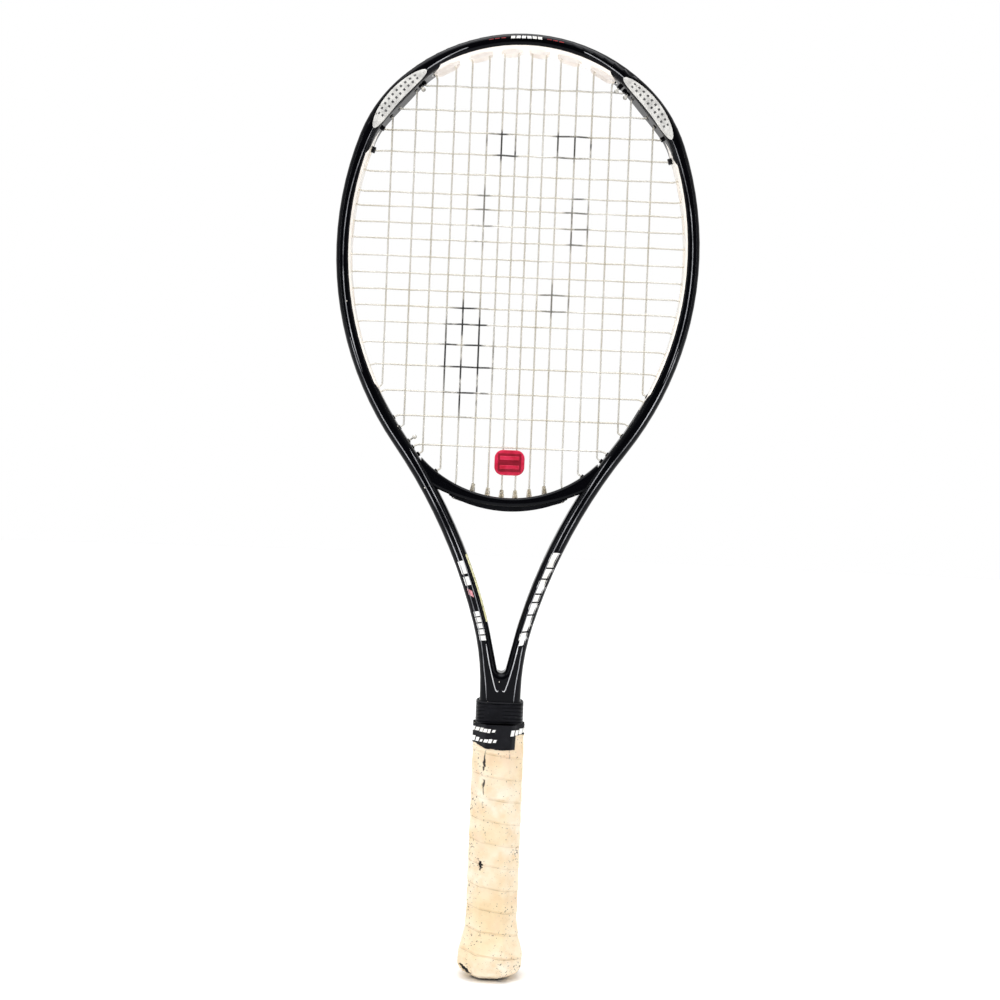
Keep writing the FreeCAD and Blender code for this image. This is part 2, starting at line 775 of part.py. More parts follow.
def string_dampener():
    top = cross_heights[-1] - string_diameter / 2 - dampener_gap
    half_w, half_t = dampener_width / 2, dampener_thickness / 2
    body = Part.makeBox(dampener_width, dampener_thickness, dampener_height,
                        V(-half_w, -half_t, top - dampener_height))
    body = round_edges(body, dampener_corner_radius, lambda e: e.BoundBox.YLength > half_t)
    body = round_edges(body, dampener_edge_radius, front_and_back_edges)
    slot_half = string_diameter / 2 + dampener_slot_clearance
    floor_y = -string_plane - slot_half
    slots = [Part.makeBox(2 * slot_half, half_t + overrun - floor_y, dampener_height + 2 * overrun,
                          V(x - slot_half, floor_y, top - dampener_height - overrun))
             for x in (-main_offsets[0], main_offsets[0])]
    return cut_all(body, slots)


def grip_collar():
    high = collar_bottom_z + collar_height
    sleeve = rounded_bar(collar_width, collar_depth, tube_rounding + collar_rounding, collar_bottom_z, high)
    gap = 2 * collar_clearance
    bore = rounded_bar(shaft_width + gap, beam_depth + gap, tube_rounding + collar_clearance,
                       collar_bottom_z - overrun, high + overrun)
    pitch = collar_height / collar_ribs
    grooves = []
    for rib in range(1, collar_ribs):
        z = collar_bottom_z + rib * pitch
        whole = Part.makeBox(collar_width + 2 * overrun, collar_depth + 2 * overrun, rib_depth,
                             V(-collar_width / 2 - overrun, -collar_depth / 2 - overrun, z - rib_depth / 2))
        core = rounded_bar(collar_width - 2 * rib_depth, collar_depth - 2 * rib_depth,
                           tube_rounding + collar_rounding - rib_depth, z - rib_depth, z + rib_depth)
        grooves.append(whole.cut(core))
    return cut_all(sleeve.cut(bore), grooves)


# ---- handle ----

def swell_at(z):
    """How far the butt stands out past the straight handle at a height."""
    for (z0, s0), (z1, s1) in zip(butt_swell, butt_swell[1:]):
        if z0 <= z <= z1:
            return s0 + (s1 - s0) * (z - z0) / (z1 - z0)
    return 0.0


def octagon(swell, z):
    half_w, half_d = handle_width / 2 + swell, handle_depth / 2 + swell
    cut = handle_bevel + (2 - math.sqrt(2)) * swell
    points = [(half_w, cut - half_d), (half_w, half_d - cut), (half_w - cut, half_d), (cut - half_w, half_d),
              (-half_w, half_d - cut), (-half_w, cut - half_d), (cut - half_w, -half_d), (half_w - cut, -half_d)]
    corners = [V(x, y, z) for x, y in points]
    return Part.makePolygon(corners + corners[:1])


def grip_layer(z_low, z_high, inset):
    """The handle's octagon from one height to another, set in from the grip's outside."""
    heights = [z_low] + [z for z, _ in butt_swell if z_low < z < z_high] + [z_high]
    return Part.makeLoft([octagon(swell_at(z) - inset, z) for z in heights], True, True)


overgrip_inset = overgrip_thickness
core_inset = overgrip_thickness + base_grip_thickness


def door_bar(clearance, z_low, z_high):
    width, depth = cap_door_width - 2 * clearance, cap_door_depth - 2 * clearance
    return rounded_bar(width, depth, cap_door_corner_radius, z_low, z_high)


def butt_cap():
    rim = grip_layer(0, base_grip_bottom_z, overgrip_inset)
    below = grip_layer(0, overgrip_bottom_z, 0)
    skirt = grip_layer(base_grip_bottom_z, cap_top_z, core_inset)
    inside = Part.makeLoft([octagon(-core_inset, z) for z in (cap_floor, cap_top_z + overrun)], True, True)
    return fuse_all([rim, skirt]).fuse(below).removeSplitter().cut(inside).cut(
        door_bar(0, -overrun, cap_floor + overrun))


def staples():
    """A U of wire on the front and back of the cap, its legs driven through it into the pallets."""
    face = handle_depth / 2 + swell_at(staple_z) - core_inset - staple_wire_radius - staple_gap
    half = staple_span / 2
    crown = Part.makeCylinder(staple_wire_radius, staple_span, V(-half, face, staple_z), V(1, 0, 0))
    parts = [crown]
    for x in (-half, half):
        parts.append(Part.makeCylinder(staple_wire_radius, staple_leg, V(x, face, staple_z), V(0, -1, 0)))
        parts.append(Part.makeSphere(staple_wire_radius, V(x, face, staple_z)))
    back = fuse_all(parts)
    return [back, back.mirror(V(0, 0, 0), V(0, 1, 0))]


# ---- the racket ----

def build():
    strips = strip_grommets
    ports = all_ports()
    grommet_holes = [barrel_hole(e, y) for members in strips.values() for e, y in members]
    plug_exits = [cross_ends[plugged_cross][0], cross_ends[plugged_cross][1]]
    plug_hole = rod(plug_exits[1][1], plug_exits[1][0], barrel_bore_radius, string_plane, before=hole_overrun)
    groove = channel()

    blank = frame_blank()
    lenses = {name: insert_lens(side, low, high) for name, side, low, high in insert_places()}
    inserts = {name: blank.common(lens) for name, lens in lenses.items()}
    behind = [insert_lens(side, low - tube_wall, high + tube_wall) for _, side, low, high in insert_places()]
    hollow = [cut_all(solid, all_ports(port_wall) + behind) for solid in cavity()]
    frame = cut_all(blank, hollow + [groove, bumper_seat()] + list(lenses.values()))
    frame = cut_all(frame, ports + grommet_holes + [plug_hole])

    bridge = bridge_blank().cut(blank)
    bridge = cut_all(bridge, [groove] + grommet_holes)

    upper_start, upper_end = bumper_end + strip_gap, cross_ends[2][0][2] + strip_margin
    corner_end = main_ends[3][1][2] + strip_margin
    left_plate = liner(cross_ends[17][0][2] - strip_margin, corner_end, -1)
    right_plate = cut_all(liner(main_ends[-1][1][2] - ported_strip_margin, corner_end, 1), ports)

    shank = rounded_bar(shank_width, shank_depth, shank_edge_radius, 0, shank_top_z)
    wires = staples()
    pallets = Part.makeLoft([octagon(-core_inset, z) for z in (cap_floor, pallet_top_z)], True, True)
    pallets = cut_all(pallets, [shank] + wires)
    half_space = [Part.makeBox(2 * handle_width, handle_width, racket_length, V(-handle_width, y, 0))
                  for y in (-handle_width, 0)]
    halves = [pallets.common(space) for space in half_space]

    cap = cut_all(butt_cap(), wires)
    base_outer = grip_layer(base_grip_bottom_z, base_grip_top_z, overgrip_inset)
    base_inner = grip_layer(base_grip_bottom_z, base_grip_top_z, core_inset)
    over_outer = grip_layer(overgrip_bottom_z, grip_top_z, 0)
    over_inner = grip_layer(overgrip_bottom_z, grip_top_z, overgrip_inset)
    tape_inner = grip_layer(tape_bottom_z, grip_top_z, 0)
    tape_outer = grip_layer(tape_bottom_z, grip_top_z, -tape_thickness)

    nodes = {
        "frame_hairpin": frame,
        "throat_bridge": bridge,
        "bumper_guard": bumper_guard(),
        "shoulder_grommets_left": grommet_strip(liner(upper_start, upper_end, -1), strips["shoulder_left"]),
        "shoulder_grommets_right": grommet_strip(liner(upper_start, upper_end, 1), strips["shoulder_right"]),
        "corner_grommets_left": grommet_strip(left_plate, strips["corner_left"], corner_barrel_tip),
        "corner_grommets_right": grommet_strip(right_plate, strips["corner_right"], corner_barrel_tip),
        "throat_grommets": grommet_strip(throat_strip_plate(), strips["throat"], throat_barrel_tip),
        "throat_sleeves": throat_sleeves(),
        "main_string": string_along(main_route(), -string_plane),
        "cross_string": string_along(cross_route(), string_plane),
        "string_dampener": string_dampener(),
        "grip_collar": grip_collar(),
        "handle_pallet_front": halves[0],
        "handle_pallet_back": halves[1],
        "butt_cap": cap,
        "butt_staples": Part.Compound(wires),
        "butt_door": door_bar(cap_door_clearance, 0, cap_floor),
        "base_grip": base_outer.cut(base_inner),
        "overgrip": over_outer.cut(over_inner),
        "finishing_tape": tape_outer.cut(tape_inner),
    }
    for name, insert in inserts.items():
        nodes["face_insert_" + name] = insert
    for name, exit_ in zip(("left", "right"), plug_exits):
        plug = port_plug(exit_)
        nodes["port_plug_" + name] = plug.cut(barrel_bore(exit_, string_plane))
    return nodes


os.makedirs("parts", exist_ok=True)
for node, shape in build().items():
    solids = shape.Solids
    print(f"{node:26s} solids {len(solids)}  volume {shape.Volume:10.1f} mm3  valid {shape.isValid()}")
    whole = solids[0] if len(solids) == 1 else Part.Compound(solids)
    whole.exportStep(f"parts/{node}.step")
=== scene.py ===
import bisect
import math
import bpy
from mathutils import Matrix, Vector, noise


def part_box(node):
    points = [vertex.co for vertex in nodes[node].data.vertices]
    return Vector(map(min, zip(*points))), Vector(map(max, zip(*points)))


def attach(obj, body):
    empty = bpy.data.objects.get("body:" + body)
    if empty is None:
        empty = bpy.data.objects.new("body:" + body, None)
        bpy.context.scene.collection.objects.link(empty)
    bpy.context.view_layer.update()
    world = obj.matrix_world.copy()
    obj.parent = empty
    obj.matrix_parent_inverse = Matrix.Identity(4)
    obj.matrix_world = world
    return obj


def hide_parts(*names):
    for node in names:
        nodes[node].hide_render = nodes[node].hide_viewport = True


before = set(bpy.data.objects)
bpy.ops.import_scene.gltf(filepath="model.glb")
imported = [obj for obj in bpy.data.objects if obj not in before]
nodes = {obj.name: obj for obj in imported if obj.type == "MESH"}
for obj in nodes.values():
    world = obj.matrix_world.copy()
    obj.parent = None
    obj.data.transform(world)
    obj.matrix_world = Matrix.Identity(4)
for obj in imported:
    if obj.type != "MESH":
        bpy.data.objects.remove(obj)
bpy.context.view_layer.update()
mm = 0.001


# small helpers

def clearSelection():
    bpy.ops.object.select_all(action="DESELECT")


def pick(*chosen):
    clearSelection()
    for piece in chosen:
        piece.select_set(True)
    bpy.context.view_layer.objects.active = chosen[0]


def editAll(piece):
    pick(piece)
    bpy.ops.object.mode_set(mode="EDIT")
    bpy.ops.mesh.select_all(action="SELECT")


def backToObject():
    bpy.ops.object.mode_set(mode="OBJECT")


def mergeClose(piece, distance):
    editAll(piece)
    bpy.ops.mesh.remove_doubles(threshold=distance)
    backToObject()


def applyModifier(piece, kind, **settings):
    pick(piece)
    modifier = piece.modifiers.new(kind, kind)
    for name, value in settings.items():
        setattr(modifier, name, value)
    bpy.ops.object.modifier_apply(modifier=modifier.name)


def finishPiece(piece, material, body="racket", stoodFor=(), sharpAngle=35):
    pick(piece)
    bpy.ops.object.shade_smooth_by_angle(angle=math.radians(sharpAngle))
    piece.data.materials.clear()
    piece.data.materials.append(material)
    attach(piece, body)
    if stoodFor:
        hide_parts(*stoodFor)
    return piece


def gridPiece(name, columns, rows, place):
    # a grid whose points place() puts on the object, from two shares that run 0 to 1
    clearSelection()
    bpy.ops.mesh.primitive_grid_add(x_subdivisions=columns, y_subdivisions=rows, size=2)
    piece = bpy.context.object
    piece.name = piece.data.name = name
    for vertex in piece.data.vertices:
        vertex.co = place((vertex.co.x + 1) / 2, (vertex.co.y + 1) / 2)
    return piece


def joinAll(name, parts):
    pick(*parts)
    bpy.ops.object.join()
    joined = bpy.context.object
    joined.name = joined.data.name = name
    return joined


def lookUp(table, value):
    # straight lines between the table's pairs, level past its ends
    index = bisect.bisect_right([pair[0] for pair in table], value)
    if index == 0:
        return table[0][1]
    if index == len(table):
        return table[-1][1]
    (low, a), (high, b) = table[index - 1], table[index]
    return a + (b - a) * (value - low) / (high - low)


def copyOfNode(nodeName, name):
    clearSelection()
    piece = bpy.data.objects.new(name, nodes[nodeName].data.copy())
    bpy.context.scene.collection.objects.link(piece)
    mergeClose(piece, 0.001 * mm)
    return piece


def linear(hexColour):
    parts = [int(hexColour[i:i + 2], 16) / 255 for i in (1, 3, 5)]
    return [p / 12.92 if p <= 0.04045 else ((p + 0.055) / 1.055) ** 2.4 for p in parts] + [1.0]


def addNode(tree, kind, settings=None, inputs=None, output=0):
    made = tree.nodes.new("ShaderNode" + kind)
    for name, value in (settings or {}).items():
        setattr(made, name, value)
    for name, value in (inputs or {}).items():
        if isinstance(value, bpy.types.NodeSocket):
            tree.links.new(value, made.inputs[name])
        else:
            made.inputs[name].default_value = value
    return made.outputs[output]


def startMaterial(name, surface):
    material = bpy.data.materials.new(name)
    material.use_nodes = True
    shader = material.node_tree.nodes["Principled BSDF"]
    for socket, value in surface.items():
        shader.inputs[socket].default_value = value
    return material, material.node_tree, shader


# the frame's outline: tangent arcs from the crown down to the shaft, each a radius and a turn in degrees,
# with 1 towards the inside and -1 away from it

outline = {
    "arcs": [(132.3, 44.8, 1), (103.6, 25.5, 1), (241.0, 56.23, 1), (399.0, 20.5, -1), (174.7, 16.02, -1)],
    "tubeWidth": 10.5 * mm,
    "edgeRadius": 4.4 * mm,
    "shoulder": (70 * mm, 150 * mm, 3.2 * mm),
    "face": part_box("frame_hairpin")[1][1],
    "top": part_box("frame_hairpin")[1][2],
}


def outlinePoint(distance, inset=0.0, side=1):
    x, z, heading, left = 0.0, outline["top"], 0.0, distance
    for radius, turn, bend in outline["arcs"]:
        radius *= mm
        swing = min(left / radius, math.radians(turn))
        centreX = x + bend * radius * math.sin(heading)
        centreZ = z - bend * radius * math.cos(heading)
        heading -= bend * swing
        x = centreX - bend * radius * math.sin(heading)
        z = centreZ + bend * radius * math.cos(heading)
        left -= swing * radius
        if left < 1e-9:
            break
    return side * (x + inset * math.sin(heading)), z - max(left, 0.0) - inset * math.cos(heading)


def distanceAtHeight(height):
    low, high = 0.1, 0.62
    for step in range(40):
        middle = (low + high) / 2
        if outlinePoint(middle)[1] > height:
            low = middle
        else:
            high = middle
    return low


def tubeWidth(distance):
    # the tube is thicker at its shoulders
    start, end, bulge = outline["shoulder"]
    share = min(max((distance - start) / (end - start), 0.0), 1.0)
    return outline["tubeWidth"] + bulge * math.sin(math.pi * share) ** 2


def faceY(inset, distance=0.0):
    # the tube's rounded front, at a distance in from its outer edge
    radius, width = outline["edgeRadius"], tubeWidth(distance)
    over = min(max(radius - inset, inset - (width - radius), 0.0), radius)
    return -(outline["face"] - radius + math.sqrt(radius ** 2 - over ** 2))


# materials

darkGlint = (0.3, 0.31, 0.34, 1.0)   # black finishes give back only this much of the light


def relief(tree, shader, spot, size, detail, strength, height):
    # a fine noise in relief over the whole surface
    grain = addNode(tree, "TexNoise", {}, {"Vector": spot, "Scale": 1 / size, "Detail": detail}, "Fac")
    bump = addNode(tree, "Bump", {}, {"Height": grain, "Strength": strength, "Distance": height})
    tree.links.new(bump, shader.inputs["Normal"])
    return bump


def lacquerMaterial(name, whiteZones):
    # clearcoated carbon frame, sprayed black and polished: a deep black that mirrors the lights as thin lines,
    # with paint chips at its edges, and a white wall inside the hoop
    material, tree, shader = startMaterial(name, {
        "Roughness": 0.13, "Specular IOR Level": 0.3, "Specular Tint": darkGlint, "Coat Weight": 0.02,
        "Coat Roughness": 0.05})
    spot = addNode(tree, "TexCoord", output="Object")
    facing = addNode(tree, "TexCoord", output="Normal")
    x, y, z = addNode(tree, "SeparateXYZ", inputs={0: spot}).node.outputs
    flip = addNode(tree, "VectorMath", {"operation": "MULTIPLY"}, {0: spot, 1: (-1, 0, -1)})
    toMiddle = addNode(tree, "VectorMath", {"operation": "ADD"}, {0: flip, 1: (0, 0, 0.53)})
    toMiddle = addNode(tree, "VectorMath", {"operation": "NORMALIZE"}, {0: toMiddle})
    inward = addNode(tree, "VectorMath", {"operation": "DOT_PRODUCT"}, {0: facing, 1: toMiddle}, "Value")
    absX = addNode(tree, "Math", {"operation": "ABSOLUTE"}, {0: x})
    absY = addNode(tree, "Math", {"operation": "ABSOLUTE"}, {0: y})
    white = 0.0
    for zone in whiteZones:
        # each zone widens from its pointed ends, with the given slope, until it covers the whole wall
        along = absX if zone["axis"] == "x" else z
        room = addNode(tree, "Math", {"operation": "SUBTRACT"}, {0: zone["high"], 1: along})
        fromLow = addNode(tree, "Math", {"operation": "SUBTRACT"}, {0: along, 1: zone["low"]})
        room = addNode(tree, "Math", {"operation": "MINIMUM"}, {0: room, 1: fromLow})
        reach = addNode(tree, "Math", {"operation": "MULTIPLY"}, {0: room, 1: zone["slope"]})
        reach = addNode(tree, "Math", {"operation": "MINIMUM"}, {0: reach, 1: zone["most"]})
        inside = addNode(tree, "Math", {"operation": "LESS_THAN"}, {0: absY, 1: reach})
        above = addNode(tree, "Math", {"operation": "GREATER_THAN"}, {0: z, 1: zone["above"]})
        inside = addNode(tree, "Math", {"operation": "MULTIPLY"}, {0: inside, 1: above})
        white = addNode(tree, "Math", {"operation": "MAXIMUM"}, {0: white, 1: inside})
    inner = addNode(tree, "MapRange", {}, {"Value": inward, "From Min": 0.66, "From Max": 0.70})
    core = addNode(tree, "Math", {"operation": "LESS_THAN"}, {0: absY, 1: 5.5 * mm})
    notOuter = addNode(tree, "Math", {"operation": "GREATER_THAN"}, {0: inward, 1: -0.5})
    core = addNode(tree, "Math", {"operation": "MULTIPLY"}, {0: core, 1: notOuter})
    inner = addNode(tree, "Math", {"operation": "MAXIMUM"}, {0: inner, 1: core})   # the ports' walls too
    white = addNode(tree, "Math", {"operation": "MULTIPLY"}, {0: white, 1: inner})
    # chips of 0.4 mm, where a coarse noise lets them be
    chipCells = addNode(tree, "TexVoronoi", {}, {"Vector": spot, "Scale": 1 / (9 * mm)}, "Distance")
    chips = addNode(tree, "Math", {"operation": "LESS_THAN"}, {0: chipCells, 1: 0.055})
    patch = addNode(tree, "TexNoise", {}, {"Vector": spot, "Scale": 1 / (60 * mm)}, "Fac")
    patch = addNode(tree, "Math", {"operation": "GREATER_THAN"}, {0: patch, 1: 0.54})
    chips = addNode(tree, "Math", {"operation": "MULTIPLY"}, {0: chips, 1: patch})
    cloud = addNode(tree, "TexNoise", {}, {"Vector": spot, "Scale": 1 / (25 * mm), "Detail": 4}, "Fac")
    dark = addNode(tree, "Mix", {"data_type": "RGBA"},
                   {0: cloud, 6: linear("#020203"), 7: linear("#06060a")}, 2)
    pale = addNode(tree, "Mix", {"data_type": "RGBA"},
                   {0: cloud, 6: linear("#fff4ea"), 7: linear("#fffdf6")}, 2)
    colour = addNode(tree, "Mix", {"data_type": "RGBA"}, {0: white, 6: dark, 7: pale}, 2)
    colour = addNode(tree, "Mix", {"data_type": "RGBA"}, {0: chips, 6: colour, 7: linear("#cfc9bd")}, 2)
    tree.links.new(colour, shader.inputs["Base Color"])
    peel = relief(tree, shader, spot, 3 * mm, 1, 0.05, 0.1 * mm)
    tree.links.new(peel, shader.inputs["Coat Normal"])
    return material


def plainMaterial(name, surface, dark, light, grainSize, grainHeight, patchSize=8 * mm, speckle=None,
                  core=None):
    # a moulded or woven surface: its colour drifts between two shades over patchSize, with a grain in relief.
    # speckle is a colour and a share of the surface that small dirty spots take, and core is a height,
    # a radius and a colour for what lies inside that circle
    material, tree, shader = startMaterial(name, surface)
    spot = addNode(tree, "TexCoord", output="Object")
    drift = addNode(tree, "TexNoise", {}, {"Vector": spot, "Scale": 1 / patchSize, "Detail": 5}, "Fac")
    drift = addNode(tree, "MapRange", {}, {"Value": drift, "From Min": 0.35, "From Max": 0.65})
    colour = addNode(tree, "Mix", {"data_type": "RGBA"}, {0: drift, 6: linear(dark), 7: linear(light)}, 2)
    if speckle:
        dots = addNode(tree, "TexNoise", {}, {"Vector": spot, "Scale": 1 / (2.2 * mm), "Detail": 3}, "Fac")
        dots = addNode(tree, "MapRange", {},
                       {"Value": dots, "From Min": 1 - speckle[1], "From Max": 1.04 - speckle[1]})
        colour = addNode(tree, "Mix", {"data_type": "RGBA"}, {0: dots, 6: colour, 7: linear(speckle[0])}, 2)
    if core:
        fromCore = addNode(tree, "VectorMath", {"operation": "SUBTRACT"}, {0: spot, 1: (0, 0, core[0])})
        fromCore = addNode(tree, "VectorMath", {"operation": "LENGTH"}, {0: fromCore}, "Value")
        inCore = addNode(tree, "Math", {"operation": "LESS_THAN"}, {0: fromCore, 1: core[1]})
        colour = addNode(tree, "Mix", {"data_type": "RGBA"}, {0: inCore, 6: colour, 7: linear(core[2])}, 2)
    tree.links.new(colour, shader.inputs["Base Color"])
    relief(tree, shader, spot, grainSize, 2, 0.6, grainHeight)
    return material


hoopWhite = [{"axis": "z", "low": 0.409, "high": 0.613, "slope": 0.55, "most": 0.0108, "above": 0.3},
             {"axis": "x", "low": -0.1, "high": 0.068, "slope": 1.6, "most": 0.0108, "above": 0.6}]
bridgeWhite = [{"axis": "x", "low": -0.1, "high": 0.019, "slope": 1.6, "most": 0.008, "above": 0.345}]
lacquer = lacquerMaterial("clearcoatedCarbonFrame", hoopWhite)
bridgeLacquer = lacquerMaterial("clearcoatedBridge", bridgeWhite)
# injection-moulded nylon, satin, a little lighter than the lacquer
satinBlack = {"Roughness": 0.42, "Specular IOR Level": 0.3, "Specular Tint": darkGlint}
nylon = plainMaterial("injectionMouldedNylon", satinBlack, "#060608", "#0f0f13", 0.6 * mm, 0.03 * mm)
# the same nylon with its barrels inside the crown left white
crownNylon = plainMaterial("twoToneMouldedNylon", satinBlack, "#060608", "#0f0f13", 0.6 * mm, 0.03 * mm,
                           core=(553.5 * mm, 130.6 * mm, "#fbeee8"))
whiteNylon = plainMaterial("whiteMouldedNylon", {"Roughness": 0.4}, "#e9e0da", "#faf5f0", 0.6 * mm, 0.03 * mm)
# vulcanised rubber, matt and slightly grey
rubber = plainMaterial("vulcanisedRubber", satinBlack, "#070709", "#141418", 0.5 * mm, 0.05 * mm,
                       speckle=("#2b2b2c", 0.33))
# the frame's creases: the lacquer's sharp ridges, coloured pale grey to silver-white as painted highlight,
# standing in for the lights' glint as thin silver lines
ridgePaintedHighlight = plainMaterial("lacquerRidgePaintedHighlight", {"Roughness": 0.25}, "#3f4045", "#b9babf",
                              0.6 * mm, 0.01 * mm, patchSize=26 * mm)
# a brighter copy of the same painted highlight, for the throat's hooks
ridgeBrighterPaintedHighlight = plainMaterial("lacquerRidgeBrighterPaintedHighlight", {"Roughness": 0.25}, "#b4b5ba", "#f1f1f3",
                            0.6 * mm, 0.01 * mm, patchSize=20 * mm)
# clear nylon tubing, yellowed by age
tubing = plainMaterial("yellowedClearTubing", {"Roughness": 0.15, "Transmission Weight": 0.8, "IOR": 1.45},
                       "#cfc6b2", "#f2eee4", 1.0 * mm, 0.03 * mm, patchSize=3 * mm, speckle=("#4d4538", 0.36))
# cast pearl resin: a cold white with a soft gloss
pearl = plainMaterial("castPearlResin", {"Roughness": 0.25, "Coat Weight": 0.5, "Coat Roughness": 0.1},
                      "#c3c2bf", "#e4e3df", 2.0 * mm, 0.02 * mm, patchSize=5 * mm, speckle=("#8f8d88", 0.33))
# moulded silicone, a saturated crimson with a soft sheen
silicone = plainMaterial("mouldedCrimsonSilicone", {"Roughness": 0.38, "Specular IOR Level": 0.25}, "#b8102f",
                         "#d42a4e", 0.8 * mm, 0.04 * mm, patchSize=6 * mm)
# a darker copy of the same silicone: painted shade for the panel between the bars
siliconePaintedShade = plainMaterial("crimsonSiliconePaintedShade", {"Roughness": 0.5, "Specular IOR Level": 0.2}, "#7e0820",
                             "#96102c", 0.8 * mm, 0.04 * mm, patchSize=6 * mm)
printWhite = plainMaterial("screenPrintedWhiteInk", {"Roughness": 0.35}, "#f3f1ec", "#ffffff",
                           0.5 * mm, 0.02 * mm)
printDark = plainMaterial("screenPrintedGreyInk", {"Roughness": 0.4}, "#2a2a2c", "#6a6a6a",
                          0.5 * mm, 0.02 * mm, patchSize=1 * mm)
printRed = plainMaterial("screenPrintedRedInk", {"Roughness": 0.4}, "#7d1f24", "#b8343a", 0.5 * mm, 0.02 * mm)
stainPink = plainMaterial("rubbedPinkStain", {"Roughness": 0.5}, "#d27b86", "#f0b9bd",
                          0.5 * mm, 0.02 * mm, patchSize=2 * mm)
creamSticker = plainMaterial("agedPaperSticker", {"Roughness": 0.6}, "#dcd79a", "#f1edc4", 0.4 * mm, 0.02 * mm,
                             patchSize=5 * mm, speckle=("#77785a", 0.40))
paleFloor = plainMaterial("mattPaperFloor", {"Roughness": 0.9}, "#f6f6f6", "#ffffff",
                          3 * mm, 0.01 * mm, patchSize=50 * mm)
print("materials made")

# camera, floor and light

view = {"lookX": -5.8 * mm, "lookZ": 347 * mm, "distance": 1100 * mm, "lens": 54.2, "rollDegrees": -2.3}
bpy.ops.object.camera_add(location=(view["lookX"], -view["distance"], view["lookZ"]),
                          rotation=(math.radians(90), math.radians(view["rollDegrees"]), 0))
camera = bpy.context.object
camera.data.lens = view["lens"]
bpy.context.scene.camera = camera
bpy.context.scene.view_settings.view_transform = "Standard"

clearSelection()
bpy.ops.mesh.primitive_circle_add(vertices=96, radius=8, fill_type="NGON", location=(0, 0, -0.0005))
floor = bpy.context.object
floor.name = "paleFloor"
floor.data.materials.append(paleFloor)

for name, location, turn, size, power in [
        ("keyStripLeft", (-1.5, -1.3, 0.6), (90, 0, -49), (0.06, 1.9), 5.5),
        ("keyStripRight", (1.6, -1.1, 0.6), (90, 0, 55), (0.06, 1.9), 4.5),
        ("topPanel", (0.0, -0.3, 2.2), (8, 0, 0), (1.4, 0.5), 6)]:
    bpy.ops.object.light_add(type="AREA", location=location, rotation=[math.radians(t) for t in turn])
    light = bpy.context.object
    light.name = name
    light.data.shape = "RECTANGLE"
    light.data.size, light.data.size_y = size
    light.data.energy = power
bpy.ops.object.light_add(type="SUN", rotation=(math.radians(16), 0, math.radians(-18)))
bpy.context.object.name = "softSun"
bpy.context.object.data.energy = 2.3
bpy.context.object.data.angle = math.radians(60)

world = bpy.data.worlds.new("paleStudio")
bpy.context.scene.world = world
world.use_nodes = True
sky = world.node_tree
look = addNode(sky, "TexCoord", output="Generated")
skyY = addNode(sky, "SeparateXYZ", inputs={0: look}, output=1)
fill = addNode(sky, "MapRange", {}, {"Value": skyY, "From Min": -0.95, "From Max": -0.3,
                                               "To Min": 0.06, "To Max": 0.7})
seen = addNode(sky, "LightPath", output="Is Camera Ray")
fill = addNode(sky, "Mix", {}, {0: seen, 2: fill, 3: 1.0})
sky.nodes["Background"].inputs["Color"].default_value = (1, 1, 1, 1)
sky.links.new(fill, sky.nodes["Background"].inputs["Strength"])
print("camera, floor and light placed")


def stringMaterial():
    # drawn nylon string: milky and slightly clear, with worn ink where a stencil once was, broken up by rubbing
    material, tree, shader = startMaterial("drawnNylonString", {
        "Roughness": 0.2, "IOR": 1.5, "Transmission Weight": 0.8})
    spot = addNode(tree, "TexCoord", output="Object")
    drift = addNode(tree, "TexNoise", {}, {"Vector": spot, "Scale": 1 / (30 * mm), "Detail": 3}, "Fac")
    drift = addNode(tree, "MapRange", {}, {"Value": drift, "From Min": 0.35, "From Max": 0.65})
    colour = addNode(tree, "Mix", {"data_type": "RGBA"},
                     {0: drift, 6: linear("#e8e2d4"), 7: linear("#faf7f0")}, 2)
    streak = addNode(tree, "TexNoise", {}, {"Vector": spot, "Scale": 1 / (11 * mm), "Detail": 4}, "Fac")
    ink = 0.0
    for centre, reach, strength in inkPatches:
        near = addNode(tree, "VectorMath", {"operation": "SUBTRACT"}, {0: spot, 1: centre})
        near = addNode(tree, "VectorMath", {"operation": "DIVIDE"}, {0: near, 1: reach})
        near = addNode(tree, "VectorMath", {"operation": "LENGTH"}, {0: near}, "Value")
        near = addNode(tree, "MapRange", {},
                       {"Value": near, "From Min": 1.0, "From Max": 0.75, "To Max": strength})
        ink = addNode(tree, "Math", {"operation": "MAXIMUM"}, {0: ink, 1: near})
    broken = addNode(tree, "MapRange", {}, {"Value": streak, "From Min": 0.37, "From Max": 0.50})
    ink = addNode(tree, "Math", {"operation": "MULTIPLY"}, {0: ink, 1: broken})
    colour = addNode(tree, "Mix", {"data_type": "RGBA"}, {0: ink, 6: colour, 7: linear("#131318")}, 2)
    tree.links.new(colour, shader.inputs["Base Color"])
    relief(tree, shader, spot, 0.8 * mm, 2, 0.3, 0.05 * mm)
    return material


# strings: the CAD strings' own loops and knots, cut at every crossing and pushed over and under each other

